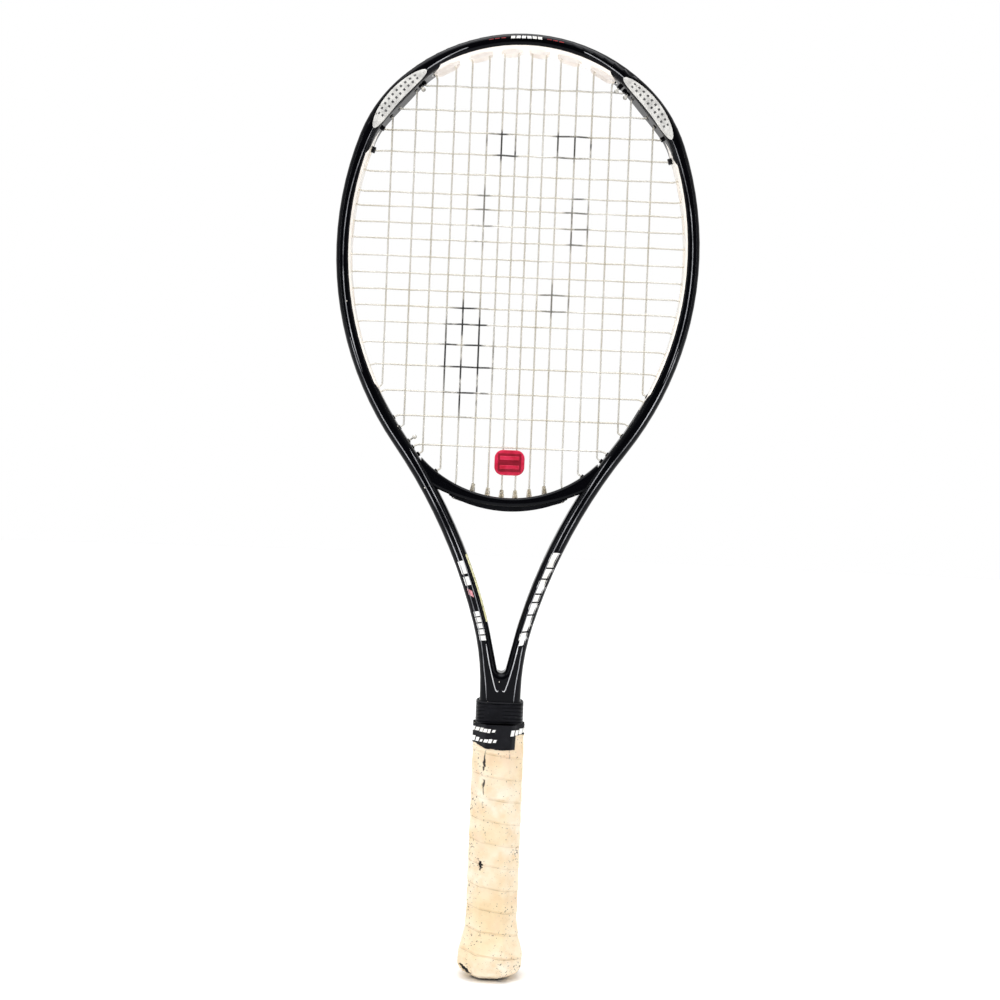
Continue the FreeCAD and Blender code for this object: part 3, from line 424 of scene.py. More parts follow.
stringing = {
    "mains": [4.9, 15.1, 26.0, 38.4, 50.2, 63.7, 78.2, 95.1],
    "crosses": [647.5, 629.8, 614.2, 598.5, 583.7, 568.9, 558.5, 546.7, 535.1, 522.4,
                510.0, 497.9, 486.0, 474.1, 459.1, 443.0, 424.2, 406.3, 385.3],
    "plane": 0.75, "mainSway": 0.45, "crossSway": 0.85,   # from the middle, in mm
    "touch": 1.1, "settle": 3.0,                          # half a crossing, and the way back to the plane
    "sideSway": 0.86, "grasp": 0.9,                       # the push beside a crossing, and how wide it holds
    "wallInset": 17.0 * mm, "bedArc": (438.08 * mm, 84.5 * mm, 395 * mm),
}
inkPatches = [((-0.0147, 0, 0.605), (0.0155, 1, 0.013), 0.9), ((0.036, 0, 0.607), (0.019, 1, 0.013), 0.85),
              ((-0.027, 0, 0.553), (0.009, 1, 0.026), 0.55), ((0.0418, 0, 0.552), (0.011, 1, 0.024), 0.7),
              ((0.028, 0, 0.494), (0.013, 1, 0.014), 0.6), ((-0.034, 0, 0.451), (0.022, 1, 0.049), 0.95)]
mainPlaces = [-x for x in reversed(stringing["mains"])] + stringing["mains"]
wallPoints = [outlinePoint(step * 2 * mm, stringing["wallInset"]) for step in range(1, 215)]
wallPoints = sorted((z, x) for x, z in wallPoints)


def inBed(x, z):
    centre, radius, below = stringing["bedArc"]
    if z < below and math.hypot(x, z - centre) > radius:
        return False
    return abs(x) < lookUp(wallPoints, z)


def swayTable(crossings, sway, plane):
    # crossings holds a place along the string and 1 for in front or -1 for behind
    touch, settle = stringing["touch"], stringing["settle"]
    table = [(crossings[0][0] - touch - settle, plane)]
    for place, front in crossings:
        top, side = -front * sway, -front * sway * stringing["sideSway"]
        table += [(place - touch, side), (place, top), (place + touch, side)]
    return table + [(crossings[-1][0] + touch + settle, plane)]


def cutAt(piece, places, axis):
    editAll(piece)
    for place in places:
        bpy.ops.mesh.select_all(action="SELECT")
        bpy.ops.mesh.bisect(plane_co=[place * mm * a for a in axis], plane_no=axis)
    backToObject()


def weave(piece, runs, tables, across, along, plane):
    # runs are the places of the strings across the bed, and tables say how far each is pushed
    for vertex in piece.data.vertices:
        at, run = vertex.co[along] / mm, vertex.co[across] / mm
        index = min(range(len(runs)), key=lambda i: abs(runs[i] - run))
        table = tables[index]
        near = max(abs(runs[index] - run), abs(vertex.co.y / mm - plane)) < stringing["grasp"]
        if near and table[0][0] < at < table[-1][0]:
            vertex.co.y += (lookUp(table, at) - plane) * mm


touches = [-stringing["touch"], 0, stringing["touch"]]
crossPlaces = stringing["crosses"]
mainTables = [swayTable(sorted((z, (-1) ** (i + j)) for j, z in enumerate(crossPlaces)
                               if inBed(x * mm, z * mm)),
                        stringing["mainSway"], -stringing["plane"]) for i, x in enumerate(mainPlaces)]
crossTables = [swayTable([(x, -(-1) ** (i + j)) for i, x in enumerate(mainPlaces) if inBed(x * mm, z * mm)],
                         stringing["crossSway"], stringing["plane"]) for j, z in enumerate(crossPlaces)]
stringCoat = stringMaterial()
mainString = copyOfNode("main_string", "mainString")
cutAt(mainString, [z + t for z in crossPlaces for t in touches], (0, 0, 1))
weave(mainString, mainPlaces, mainTables, 0, 2, -stringing["plane"])
finishPiece(mainString, stringCoat, stoodFor=["main_string"])
crossString = copyOfNode("cross_string", "crossString")
cutAt(crossString, [x + t for x in mainPlaces for t in touches], (1, 0, 0))
weave(crossString, crossPlaces, crossTables, 2, 0, stringing["plane"])
finishPiece(crossString, stringCoat, stoodFor=["cross_string"])
print("strings woven:", len(mainString.data.polygons), len(crossString.data.polygons))


# carried-over CAD nodes get their real materials

blackFoam = plainMaterial("openCellBlackFoam", {"Roughness": 0.9}, "#08080a", "#1b1a1a",
                          0.7 * mm, 0.15 * mm, patchSize=3 * mm)
palletFoam = plainMaterial("mouldedPolyurethaneFoam", {"Roughness": 0.8}, "#3d3a36", "#56514a",
                           0.8 * mm, 0.08 * mm)
steel = plainMaterial("galvanisedSteelWire", {"Roughness": 0.35, "Metallic": 1.0}, "#9a9a98", "#c4c4c0",
                      0.4 * mm, 0.02 * mm)
nodeMaterials = {
    "frame_hairpin": lacquer, "throat_bridge": bridgeLacquer,
    "bumper_guard": crownNylon, "shoulder_grommets_left": nylon, "shoulder_grommets_right": nylon,
    "corner_grommets_left": nylon, "corner_grommets_right": nylon, "throat_grommets": nylon,
    "throat_sleeves": tubing, "port_plug_left": rubber, "port_plug_right": rubber,
    "string_dampener": silicone, "grip_collar": rubber, "base_grip": blackFoam,
    "handle_pallet_front": palletFoam, "handle_pallet_back": palletFoam,
    "butt_cap": nylon, "butt_staples": steel, "butt_door": nylon,
}
for nodeName, material in nodeMaterials.items():
    nodes[nodeName].data.materials.clear()
    nodes[nodeName].data.materials.append(material)
print("CAD nodes finished")


# the dampener's front: a darker panel, its colour painted shade, with two raised bars across it

dampener = {"low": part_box("string_dampener")[0], "high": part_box("string_dampener")[1], "border": 2.6 * mm,
            "bars": 2, "barWidth": 3.0 * mm, "barEnd": 1.2 * mm, "barRise": 0.9 * mm, "panelRise": 0.25 * mm}


def dampenerBlock(name, low, high, rounding):
    clearSelection()
    bpy.ops.mesh.primitive_cube_add(size=1, location=[(a + b) / 2 for a, b in zip(low, high)])
    block = bpy.context.object
    block.name = block.data.name = name
    editAll(block)
    bpy.ops.transform.resize(value=[b - a for a, b in zip(low, high)], center_override=block.location)
    backToObject()
    bpy.ops.object.transform_apply(location=True, rotation=True, scale=True)
    applyModifier(block, "BEVEL", width=rounding, segments=3)
    return block


dampenerFront = dampener["low"][1]
left, right = dampener["low"][0] + dampener["border"], dampener["high"][0] - dampener["border"]
bottom, top = dampener["low"][2] + dampener["border"], dampener["high"][2] - dampener["border"]
panel = dampenerBlock("dampenerPanel", (left, dampenerFront - dampener["panelRise"], bottom),
                      (right, dampenerFront + 0.8 * mm, top), 0.2 * mm)
finishPiece(panel, siliconePaintedShade, body="dampener")
bars = []
for index in range(dampener["bars"]):
    middle = bottom + (top - bottom) * (index + 0.5) / dampener["bars"]
    bars.append(dampenerBlock("dampenerBar", (left + dampener["barEnd"], dampenerFront - dampener["barRise"],
                                              middle - dampener["barWidth"] / 2),
                              (right - dampener["barEnd"], dampenerFront + 0.5 * mm,
                               middle + dampener["barWidth"] / 2), 0.6 * mm))
finishPiece(joinAll("dampenerBars", bars), silicone, body="dampener")
print("dampener detailed")


# pieces on the frame's face

def faceOut(piece, direction=None):
    # an open sheet turned so that it faces that way, or away from the grip's axis, before it gets its thickness
    total = 0.0
    for polygon in piece.data.polygons:
        out = Vector(direction) if direction else polygon.center * Vector((1, 1, 0))
        total += polygon.normal.dot(out) * polygon.area
    if total < 0:
        editAll(piece)
        bpy.ops.mesh.flip_normals()
        backToObject()


inserts = {"start": 80.5 * mm, "length": 62 * mm, "tipInset": 8.0, "outer": 2.9, "inner": 12.7, "bluntness": 0.5,
           "lift": 0.25, "ridge": 0.8, "thickness": 1.6 * mm, "markLength": 0.028, "markWidth": 0.17}


def insertPlace(u, v, side, front):
    belly = (4 * u * (1 - u)) ** inserts["bluntness"]
    outer = inserts["tipInset"] + (inserts["outer"] - inserts["tipInset"]) * belly
    inner = inserts["tipInset"] + (inserts["inner"] - inserts["tipInset"]) * belly
    inset = (outer + (inner - outer) * v) * mm
    rise = (inserts["lift"] + inserts["ridge"] * (1 - abs(1.7 * v - 1) ** 1.3) * math.sqrt(belly)) * mm
    distance = inserts["start"] + inserts["length"] * u
    x, z = outlinePoint(distance, inset, side)
    return x, front * (faceY(inset, distance) - rise), z


for front, faceName in ((1, "front"), (-1, "back")):
    for side, sideName in ((-1, "left"), (1, "right")):
        insert = gridPiece(f"faceInsert_{faceName}_{sideName}", 56, 12,
                           lambda u, v: insertPlace(u, v, side, front))
        faceOut(insert, (0, -front, 0))
        applyModifier(insert, "SOLIDIFY", thickness=inserts["thickness"], offset=-1)
        finishPiece(insert, pearl, stoodFor=[f"face_insert_{faceName}_{sideName}"])


def insertMark(u, v, side, front):
    # a short dark bar, one of the rows that stand where the lettering was
    def place(a, b):
        x, y, z = insertPlace(u + (a - 0.5) * inserts["markLength"], v + (b - 0.5) * inserts["markWidth"],
                              side, front)
        return x, y - front * 0.06 * mm, z
    mark = gridPiece("print", 3, 3, place)
    faceOut(mark, (0, -front, 0))
    return mark


insertMarks = [insertMark(0.16 + index * 0.072, v, side, front) for front in (1, -1) for side in (-1, 1)
               for v in (0.3, 0.68) for index in range(10)]
markSet = joinAll("insertMarks", insertMarks)
applyModifier(markSet, "SOLIDIFY", thickness=0.04 * mm, offset=-1)
finishPiece(markSet, printDark)
print("inserts made")


creases = {"radius": 0.36 * mm, "sink": 0.10 * mm, "steps": 60}


def creaseLine(points, name, front):
    clearSelection()
    curve = bpy.data.curves.new(name, "CURVE")
    curve.dimensions = "3D"
    curve.bevel_depth = creases["radius"]
    curve.bevel_resolution = 2
    curve.use_fill_caps = True
    spline = curve.splines.new("POLY")
    spline.points.add(len(points) - 1)
    for index, (point, (x, y, z)) in enumerate(zip(spline.points, points)):
        share = index / (len(points) - 1)
        point.co = (x, front * y, z, 1)
        point.radius = min(1.0, 12 * share + 0.2, 12 * (1 - share) + 0.2)   # runs out thin at both ends
    piece = bpy.data.objects.new(name, curve)
    bpy.context.scene.collection.objects.link(piece)
    pick(piece)
    bpy.ops.object.convert(target="MESH")
    return bpy.context.object


def alongOutline(start, end, insets, side):
    points = []
    for step in range(creases["steps"] + 1):
        share = step / creases["steps"]
        distance = start + (end - start) * share
        inset = lookUp(insets, distance) * mm
        x, z = outlinePoint(distance, inset, side)
        points.append((x, faceY(inset, distance) + creases["sink"], z))
    return points


def throughPoints(corners):
    # a smooth line on the flat face through a few points given in mm
    points, y = [], -outline["face"] + creases["sink"]
    for step in range(creases["steps"] + 1):
        share = step / creases["steps"] * (len(corners) - 1)
        index = min(int(share), len(corners) - 2)
        p = [corners[max(min(index + k, len(corners) - 1), 0)] for k in (-1, 0, 1, 2)]
        t = share - index
        x, z = (0.5 * (2 * p[1][a] + (p[2][a] - p[0][a]) * t + (2 * p[0][a] - 5 * p[1][a] + 4 * p[2][a] - p[3][a])
                * t ** 2 + (3 * p[1][a] - p[0][a] - 3 * p[2][a] + p[3][a]) * t ** 3) for a in (0, 1))
        points.append((x * mm, y, z * mm))
    return points


# the band of plain white blocks on the right arm, which covers the outer line there
armBand = {"top": 309 * mm, "bottom": 242 * mm, "lengths": [11, 7, 10, 5, 8, 11, 9], "gap": 1.1,
           "insets": (0.1, 6.3)}
neckEnd = distanceAtHeight(200 * mm)
throatD = distanceAtHeight(243 * mm)
bridgeD = distanceAtHeight(352 * mm)
bandTop, bandEnd = distanceAtHeight(armBand["top"]), distanceAtHeight(armBand["bottom"])
# how far in from the outer edge each line runs, in mm, by the distance along it
hoopLine = [(44 * mm, 5.6), (81 * mm, 7.6), (142 * mm, 7.6), (198 * mm, 5.9), (330 * mm, 4.6)]
innerLine = [(bridgeD - 30 * mm, 8.0), (bridgeD, 6.9), (throatD, 6.5)]
outerLine = [(300 * mm, 3.4), (bridgeD, 3.8), (distanceAtHeight(250 * mm), 3.1), (distanceAtHeight(225 * mm), 3.1),
             (distanceAtHeight(212 * mm), 4.2), (neckEnd, 5.2)]
hookLine = [(11.8, 243), (9.6, 232), (7.4, 223), (5.2, 215), (3.8, 210.6), (2.6, 208.6), (1.4, 209.2)]
creaseParts, hookParts = [], []
for front in (1, -1):
    for side in (-1, 1):
        routes = [
            alongOutline(142 * mm, 330 * mm, hoopLine, side),
            alongOutline(44 * mm, 81 * mm, hoopLine, side),
            alongOutline(bridgeD - 30 * mm, throatD, innerLine, side),
        ]
        if (front, side) == (1, 1):   # the outer line stops where the print covers it
            routes += [alongOutline(300 * mm, bandTop, outerLine, side),
                       alongOutline(bandEnd, neckEnd, outerLine, side)]
        else:
            routes += [alongOutline(300 * mm, neckEnd, outerLine, side)]
        creaseParts += [creaseLine(route, "crease", front) for route in routes]
        hook = throughPoints([(side * x, z) for x, z in hookLine])
        hookParts.append(creaseLine(hook, "crease", front))
# the crease ridges take the painted-highlight colours, and the hooks take the brighter one
finishPiece(joinAll("frameCreases", creaseParts), ridgePaintedHighlight)
finishPiece(joinAll("throatHooks", hookParts), ridgeBrighterPaintedHighlight)
print("creases made")


# white rims round the crown's ports, moulded, standing into the string bed

portRims = {"pairs": [(15.1, 4.9), (38.4, 26.0), (63.7, 50.2)], "overlap": 3.2, "halfHeight": 5.6, "stand": 3.4,
            "sink": 0.8, "wall": 1.0, "columns": 56}


def rimPlace(u, v, near, far, side):
    def wallAt(x):
        # the inner wall above that x, found along the outline
        low, high = 0.0, 150 * mm
        for step in range(30):
            middle = (low + high) / 2
            if outlinePoint(middle, outline["tubeWidth"])[0] < x:
                low = middle
            else:
                high = middle
        return low
    start, end = wallAt(near * mm) - portRims["overlap"] * mm, wallAt(far * mm) + portRims["overlap"] * mm
    # the profile goes up the rim's outside, over its edge and down its inside
    inside, up = ((0.0, 0.0), (0.15, 0.85), (0.5, 1.0), (0.85, 0.85), (1.0, 0.0))[round(v * 4)]
    shrink = inside * portRims["wall"] * mm
    angle = u * 2 * math.pi
    length, height = (end - start) / 2 - shrink, portRims["halfHeight"] * mm - shrink
    straight = length - height
    along = height * math.cos(angle) + (straight if math.cos(angle) >= 0 else -straight)
    dome = math.sqrt(max(0.0, 1 - (along / ((end - start) / 2)) ** 2))
    rise = (-portRims["sink"] + up * (portRims["stand"] * dome + portRims["sink"])) * mm
    x, z = outlinePoint((start + end) / 2 + along, outline["tubeWidth"] + rise, side)
    return x, height * math.sin(angle), z


rims = []
for side in (-1, 1):
    for far, near in portRims["pairs"]:
        rim = gridPiece("rim", portRims["columns"], 4, lambda u, v: rimPlace(u, v, near, far, side))
        editAll(rim)
        bpy.ops.mesh.remove_doubles(threshold=0.01 * mm)
        bpy.ops.mesh.select_all(action="SELECT")
        bpy.ops.mesh.normals_make_consistent(inside=False)
        backToObject()
        rims.append(rim)
finishPiece(joinAll("crownPortRims", rims), whiteNylon, sharpAngle=60)
print("port rims made")


# prints on the frame: plain blocks and bars, thin sheets that lie on the lacquer

prints = {"lift": 0.05 * mm, "thickness": 0.04 * mm}


def printPatch(start, end, insetLow, insetHigh, side, front=1, slant=0.0, columns=8, rows=6):
    def place(u, v):
        inset = insetLow + (insetHigh - insetLow) * v
        distance = start + (end - start) * u + slant * (v - 0.5)
        x, z = outlinePoint(distance, inset, side)
        return x, front * (faceY(inset) - prints["lift"]), z
    patch = gridPiece("print", columns, rows, place)
    faceOut(patch, (0, -front, 0))
    return patch


def finishPrints(name, parts, material):
    piece = joinAll(name, parts)
    applyModifier(piece, "SOLIDIFY", thickness=prints["thickness"], offset=-1)
    return finishPiece(piece, material)


scale = (distanceAtHeight(armBand["bottom"]) - distanceAtHeight(armBand["top"])) / (
    sum(armBand["lengths"]) + armBand["gap"] * (len(armBand["lengths"]) - 1))
place, blocks = distanceAtHeight(armBand["top"]), []
low, high = (inset * mm for inset in armBand["insets"])
for index, length in enumerate(armBand["lengths"]):
    end = place + length * scale
    blocks.append(printPatch(place, end, low, high, 1, slant=2.4 * mm))
    if index % 2 == 0:   # a thin bar steps out of every other block
        blocks.append(printPatch(place + 0.2 * (end - place), end - 0.3 * (end - place), high, high + 0.9 * mm, 1,
                                 slant=0.3 * mm, rows=2))
    place = end + armBand["gap"] * scale
low, high, slant = 2.4 * mm, 6.9 * mm, 0.5 * mm   # of the blocks on the left arm
for index in range(5):
    start = distanceAtHeight(264.5 * mm) + index * 4.4 * mm
    blocks.append(printPatch(start, start + 3.5 * mm, low, high, -1, slant=slant))
for topHeight, lowHeight in ((300, 291), (289, 283)):
    blocks.append(printPatch(distanceAtHeight(topHeight * mm), distanceAtHeight(lowHeight * mm), low, high, -1,
                             slant=slant))
for index in range(6):
    start = (index - 3) * 4.0 * mm + 0.5 * mm
    side = 1 if start > 0 else -1
    a, b = sorted((abs(start), abs(start + 3.1 * mm)))
    blocks.append(printPatch(a, b, 2.7 * mm, 4.6 * mm, side, slant=0.3 * mm))
finishPrints("whitePrints", blocks, printWhite)
redParts = []
for side in (-1, 1):
    for index in range(3):
        start = (15.4 + index * 4.6) * mm
        redParts.append(printPatch(start, start + 3.4 * mm, 3.4 * mm, 4.0 * mm, side, rows=2))
finishPrints("redPrints", redParts, printRed)
finishPrints("pinkStain", [printPatch(distanceAtHeight(280 * mm), distanceAtHeight(275.5 * mm), 2.6 * mm, 5.6 * mm,
                                      -1, slant=3 * mm)], stainPink)


def stickerPlace(u, v):
    distance = distanceAtHeight(303 * mm) + u * 50 * mm
    inset = min(9.4 + 2.2 * v, 10.5) * mm
    y = faceY(inset) if v < 0.5 else faceY(10.5 * mm) + (v - 0.5) * 10 * mm
    x, z = outlinePoint(distance, inset + 0.06 * mm, -1)
    return x, y - 0.04 * mm, z


sticker = gridPiece("armSticker", 30, 10, stickerPlace)
faceOut(sticker, (1, -1, 0))
applyModifier(sticker, "SOLIDIFY", thickness=prints["thickness"], offset=-1)
finishPiece(sticker, creamSticker)
print("prints made")


# the grip: a rounded octagon that swells at the butt

handle = {
    "halfWidth": 18.4, "halfDepth": 16.4, "bevel": 9.6, "cornerPower": 46,
    "swell": [(0.0, -6.0), (1.8, -3.2), (4.7, 1.5), (7.6, 3.4), (10.5, 4.8), (16.3, 4.8), (22.1, 3.4),
              (27.9, 1.9), (34.0, 0.8), (42.0, 0.0)],
}


def octagonRadius(angle, deep, slanted, wide, power):
    # a rounded octagon's radius at an angle from the front; a higher power gives sharper corners
    total = 0.0
    for facing in range(8):
        lean = math.cos(angle - facing * math.pi / 4)
        if lean > 0.2:
            total += (lean / (deep, slanted, wide, slanted)[facing % 4]) ** power
    return total ** (-1 / power)


def handlePoint(angle, z, proud):
    # angle runs from the front, to the right; z and proud are in mm
    grow = lookUp(handle["swell"], z) + proud
    wide, deep = handle["halfWidth"] + grow, handle["halfDepth"] + grow
    slanted = (handle["halfWidth"] + handle["halfDepth"] - handle["bevel"]) / math.sqrt(2) + grow
    radius = octagonRadius(angle, deep, slanted, wide, handle["cornerPower"])
    return radius * math.sin(angle) * mm, -radius * math.cos(angle) * mm, z * mm


# the finishing tape's lower edge: its height by the angle from the front, in turns
tape = {"top": 184.9, "columns": 168, "rows": 22, "proud": 0.25, "step": 0.118, "thickness": 0.35 * mm,
        "edge": [(-0.5, 169.0), (-0.25, 171.6), (-0.17, 170.8), (-0.11, 168.6), (-0.06, 167.6), (0.03, 167.0),
                 (0.09, 167.4), (0.117, 167.6), (0.119, 177.3), (0.20, 177.6), (0.3, 175.0), (0.5, 169.0)]}
overgrip = {"pitch": 16.0, "rowsPerTurn": 20, "turns": 14, "seamAt": 3.0, "step": 0.42, "columns": 144,
            "bottom": 0.2, "top": 183.8, "thickness": 0.45 * mm}


def overgripPlace(u, v):
    # rows run down to the right like the wrapped tape, and each turn's lower edge stands over the turn below
    angle = (u - 0.5) * 2 * math.pi
    row = round(v * overgrip["turns"] * overgrip["rowsPerTurn"])
    share = (row % overgrip["rowsPerTurn"]) / overgrip["rowsPerTurn"]
    z = overgrip["seamAt"] + (row / overgrip["rowsPerTurn"] - 1 - angle / (2 * math.pi)) * overgrip["pitch"]
    if share == 0:
        z += 0.55   # the row just under the edge comes up to it
    proud = overgrip["step"] * max(0.0, 1 - share / 0.7) ** 0.7 if share > 0 else -0.1
    waviness = (noise.noise(Vector((angle * 6, z * 0.12, 3.1))) * 0.28
                + noise.noise(Vector((angle * 20, z, 7.7))) * 0.07)
    edgeWander = noise.noise(Vector((angle * 3, row // overgrip["rowsPerTurn"] * 5.3, 1.7))) * 0.8
    z += edgeWander * max(0.0, 1 - 2 * abs(share - 0.02) * 4) if share < 0.12 else 0.0
    under = -0.6 if z > lookUp(tape["edge"], angle / (2 * math.pi)) + 0.6 else 0.0
    return handlePoint(angle, z, proud - 0.05 + waviness * 0.6 + under)


gripWrap = gridPiece("overgripWrap", overgrip["columns"], overgrip["turns"] * overgrip["rowsPerTurn"],
                     overgripPlace)
editAll(gripWrap)
bpy.ops.mesh.remove_doubles(threshold=0.05 * mm)
bpy.ops.mesh.select_all(action="SELECT")
bpy.ops.mesh.bisect(plane_co=(0, 0, overgrip["bottom"] * mm), plane_no=(0, 0, 1), clear_inner=True)
bpy.ops.mesh.select_all(action="SELECT")
bpy.ops.mesh.bisect(plane_co=(0, 0, overgrip["top"] * mm), plane_no=(0, 0, 1), clear_outer=True)
backToObject()
faceOut(gripWrap)

# torn places: middle, reach and lean in the front view, in mm, where the black foam shows
tears = [((-17.4, 7.2), (5.6, 2.0), -0.75), ((9.2, 2.6), (3.4, 0.9), 0.35), ((-9.3, 84.2), (1.5, 3.2), 0.15),
         ((-9.9, 80.6), (0.8, 1.2), 0.0)]
editAll(gripWrap)
bpy.ops.mesh.select_all(action="DESELECT")
bpy.ops.mesh.select_mode(type="FACE")
backToObject()
for polygon in gripWrap.data.polygons:
    x, y, z = (c / mm for c in polygon.center)
    if y > 2:
        continue
    for (middleX, middleZ), (reachX, reachZ), lean in tears:
        u = (x - middleX) * math.cos(lean) + (z - middleZ) * math.sin(lean)
        v = (z - middleZ) * math.cos(lean) - (x - middleX) * math.sin(lean)
        ragged = 1 + 0.7 * noise.noise(Vector((x * 0.9, z * 0.9, 0.5)))
        if (u / reachX) ** 2 + (v / reachZ) ** 2 < ragged:
            polygon.select = True
pick(gripWrap)
bpy.ops.object.mode_set(mode="EDIT")
bpy.ops.mesh.delete(type="FACE")
backToObject()
applyModifier(gripWrap, "SOLIDIFY", thickness=overgrip["thickness"], offset=-1)


def wornFeltMaterial():
    # brushed polyurethane overgrip: cream and matt, yellowed and pink where the hand rubs it, with dark specks,
    # cracks below the tape, and a darker tan along the seams that is painted shade
    material, tree, shader = startMaterial("brushedPolyurethaneFelt", {
        "Roughness": 0.88, "Sheen Weight": 0.15, "Subsurface Weight": 0.05})
    spot = addNode(tree, "TexCoord", output="Object")
    xyz = addNode(tree, "SeparateXYZ", inputs={0: spot}).node.outputs
    wide = addNode(tree, "TexNoise", {}, {"Vector": spot, "Scale": 1 / (38 * mm), "Detail": 5}, "Fac")
    wide = addNode(tree, "MapRange", {}, {"Value": wide, "From Min": 0.36, "From Max": 0.62})
    fine = addNode(tree, "TexNoise", {}, {"Vector": spot, "Scale": 1 / (9 * mm), "Detail": 6}, "Fac")
    fine = addNode(tree, "MapRange", {}, {"Value": fine, "From Min": 0.42, "From Max": 0.70,
                                                    "To Max": 0.75})
    colour = addNode(tree, "Mix", {"data_type": "RGBA"},
                     {0: wide, 6: linear("#f3dbb2"), 7: linear("#fdefd9")}, 2)
    colour = addNode(tree, "Mix", {"data_type": "RGBA"}, {0: fine, 6: colour, 7: linear("#eccda0")}, 2)
    shifted = addNode(tree, "VectorMath", {"operation": "ADD"}, {0: spot, 1: (0.4, 0.2, 0.1)})
    rub = addNode(tree, "TexNoise", {}, {"Vector": shifted, "Scale": 1 / (22 * mm), "Detail": 3}, "Fac")
    rub = addNode(tree, "MapRange", {}, {"Value": rub, "From Min": 0.55, "From Max": 0.72, "To Max": 0.6})
    colour = addNode(tree, "Mix", {"data_type": "RGBA"}, {0: rub, 6: colour, 7: linear("#efd0b4")}, 2)
    # specks of 0.5 to 1 mm, thicker where a slow noise is high
    slow = addNode(tree, "TexNoise", {}, {"Vector": spot, "Scale": 1 / (16 * mm), "Detail": 2}, "Fac")
    slow = addNode(tree, "MapRange", {}, {"Value": slow, "From Min": 0.45, "From Max": 0.75,
                                                    "To Min": 0.685, "To Max": 0.60})
    # more of them towards the grip's sides than on its front
    side = addNode(tree, "Math", {"operation": "ABSOLUTE"}, {0: xyz[0]})
    side = addNode(tree, "MapRange", {}, {"Value": side, "From Min": 6 * mm, "From Max": 17 * mm,
                                                    "To Max": 0.035})
    slow = addNode(tree, "Math", {"operation": "SUBTRACT"}, {0: slow, 1: side})
    specks = addNode(tree, "TexNoise", {}, {"Vector": spot, "Scale": 1 / (1.5 * mm), "Detail": 3}, "Fac")
    specks = addNode(tree, "Math", {"operation": "SUBTRACT"}, {0: specks, 1: slow})
    specks = addNode(tree, "MapRange", {}, {"Value": specks, "From Min": 0.0, "From Max": 0.035,
                                                      "To Max": 0.85})
    colour = addNode(tree, "Mix", {"data_type": "RGBA"}, {0: specks, 6: colour, 7: linear("#4a382c")}, 2)
    # painted shade in the seams: a darker tan along the same helix as the wrap
    backY = addNode(tree, "Math", {"operation": "MULTIPLY"}, {0: xyz[1], 1: -1.0})
    turn = addNode(tree, "Math", {"operation": "ARCTAN2"}, {0: xyz[0], 1: backY})
    turn = addNode(tree, "Math", {"operation": "DIVIDE"}, {0: turn, 1: 2 * math.pi})
    pitch = overgrip["pitch"] * mm
    turn = addNode(tree, "Math", {"operation": "SUBTRACT"}, {0: turn, 1: overgrip["seamAt"] * mm / pitch})
    turn = addNode(tree, "Math", {"operation": "MULTIPLY_ADD"}, {0: xyz[2], 1: 1 / pitch, 2: turn})
    wobble = addNode(tree, "TexNoise", {}, {"Vector": spot, "Scale": 1 / (14 * mm), "Detail": 3}, "Fac")
    turn = addNode(tree, "Math", {"operation": "MULTIPLY_ADD"}, {0: wobble, 1: 0.06, 2: turn})
    seam = addNode(tree, "Math", {"operation": "PINGPONG"}, {0: turn, 1: 0.5})
    seam = addNode(tree, "MapRange", {}, {"Value": seam, "From Min": 0.030, "From Max": 0.006, "To Max": 0.75})
    partly = addNode(tree, "MapRange", {}, {"Value": fine, "From Min": 0.1, "From Max": 0.5, "To Min": 0.25})
    seam = addNode(tree, "Math", {"operation": "MULTIPLY"}, {0: seam, 1: partly})
    colour = addNode(tree, "Mix", {"data_type": "RGBA"}, {0: seam, 6: colour, 7: linear("#c2a57c")}, 2)
    # two upright cracks below the tape, at x = -9.5 and 9 mm
    for crackX, low in ((-9.5, 0.122), (9.0, 0.150)):
        wander = addNode(tree, "TexNoise", {}, {"Vector": spot, "Scale": 1 / (6 * mm), "Detail": 4}, "Fac")
        wander = addNode(tree, "Math", {"operation": "MULTIPLY_ADD"},
                         {0: wander, 1: 5 * mm, 2: (-crackX - 2.5) * mm})
        gap = addNode(tree, "Math", {"operation": "ADD"}, {0: xyz[0], 1: wander})
        gap = addNode(tree, "Math", {"operation": "ABSOLUTE"}, {0: gap})
        line = addNode(tree, "MapRange", {}, {"Value": gap, "From Min": 0.8 * mm, "From Max": 0.3 * mm})
        high = addNode(tree, "MapRange", {}, {"Value": xyz[2], "From Min": low, "From Max": low + 0.02})
        broken = addNode(tree, "MapRange", {}, {"Value": fine, "From Min": 0.05, "From Max": 0.2})
        front = addNode(tree, "Math", {"operation": "LESS_THAN"}, {0: xyz[1], 1: 0.0})
        line = addNode(tree, "Math", {"operation": "MULTIPLY"}, {0: line, 1: high})
        line = addNode(tree, "Math", {"operation": "MULTIPLY"}, {0: line, 1: broken})
        line = addNode(tree, "Math", {"operation": "MULTIPLY"}, {0: line, 1: front})
        colour = addNode(tree, "Mix", {"data_type": "RGBA"}, {0: line, 6: colour, 7: linear("#2a2320")}, 2)
    tree.links.new(colour, shader.inputs["Base Color"])
    relief(tree, shader, spot, 0.7 * mm, 3, 0.5, 0.12 * mm)
    return material


finishPiece(gripWrap, wornFeltMaterial(), stoodFor=["overgrip"], sharpAngle=50)
print("overgrip wrapped:", len(gripWrap.data.polygons))


# finishing tape: two turns of vinyl with a ragged lower edge and a cut end

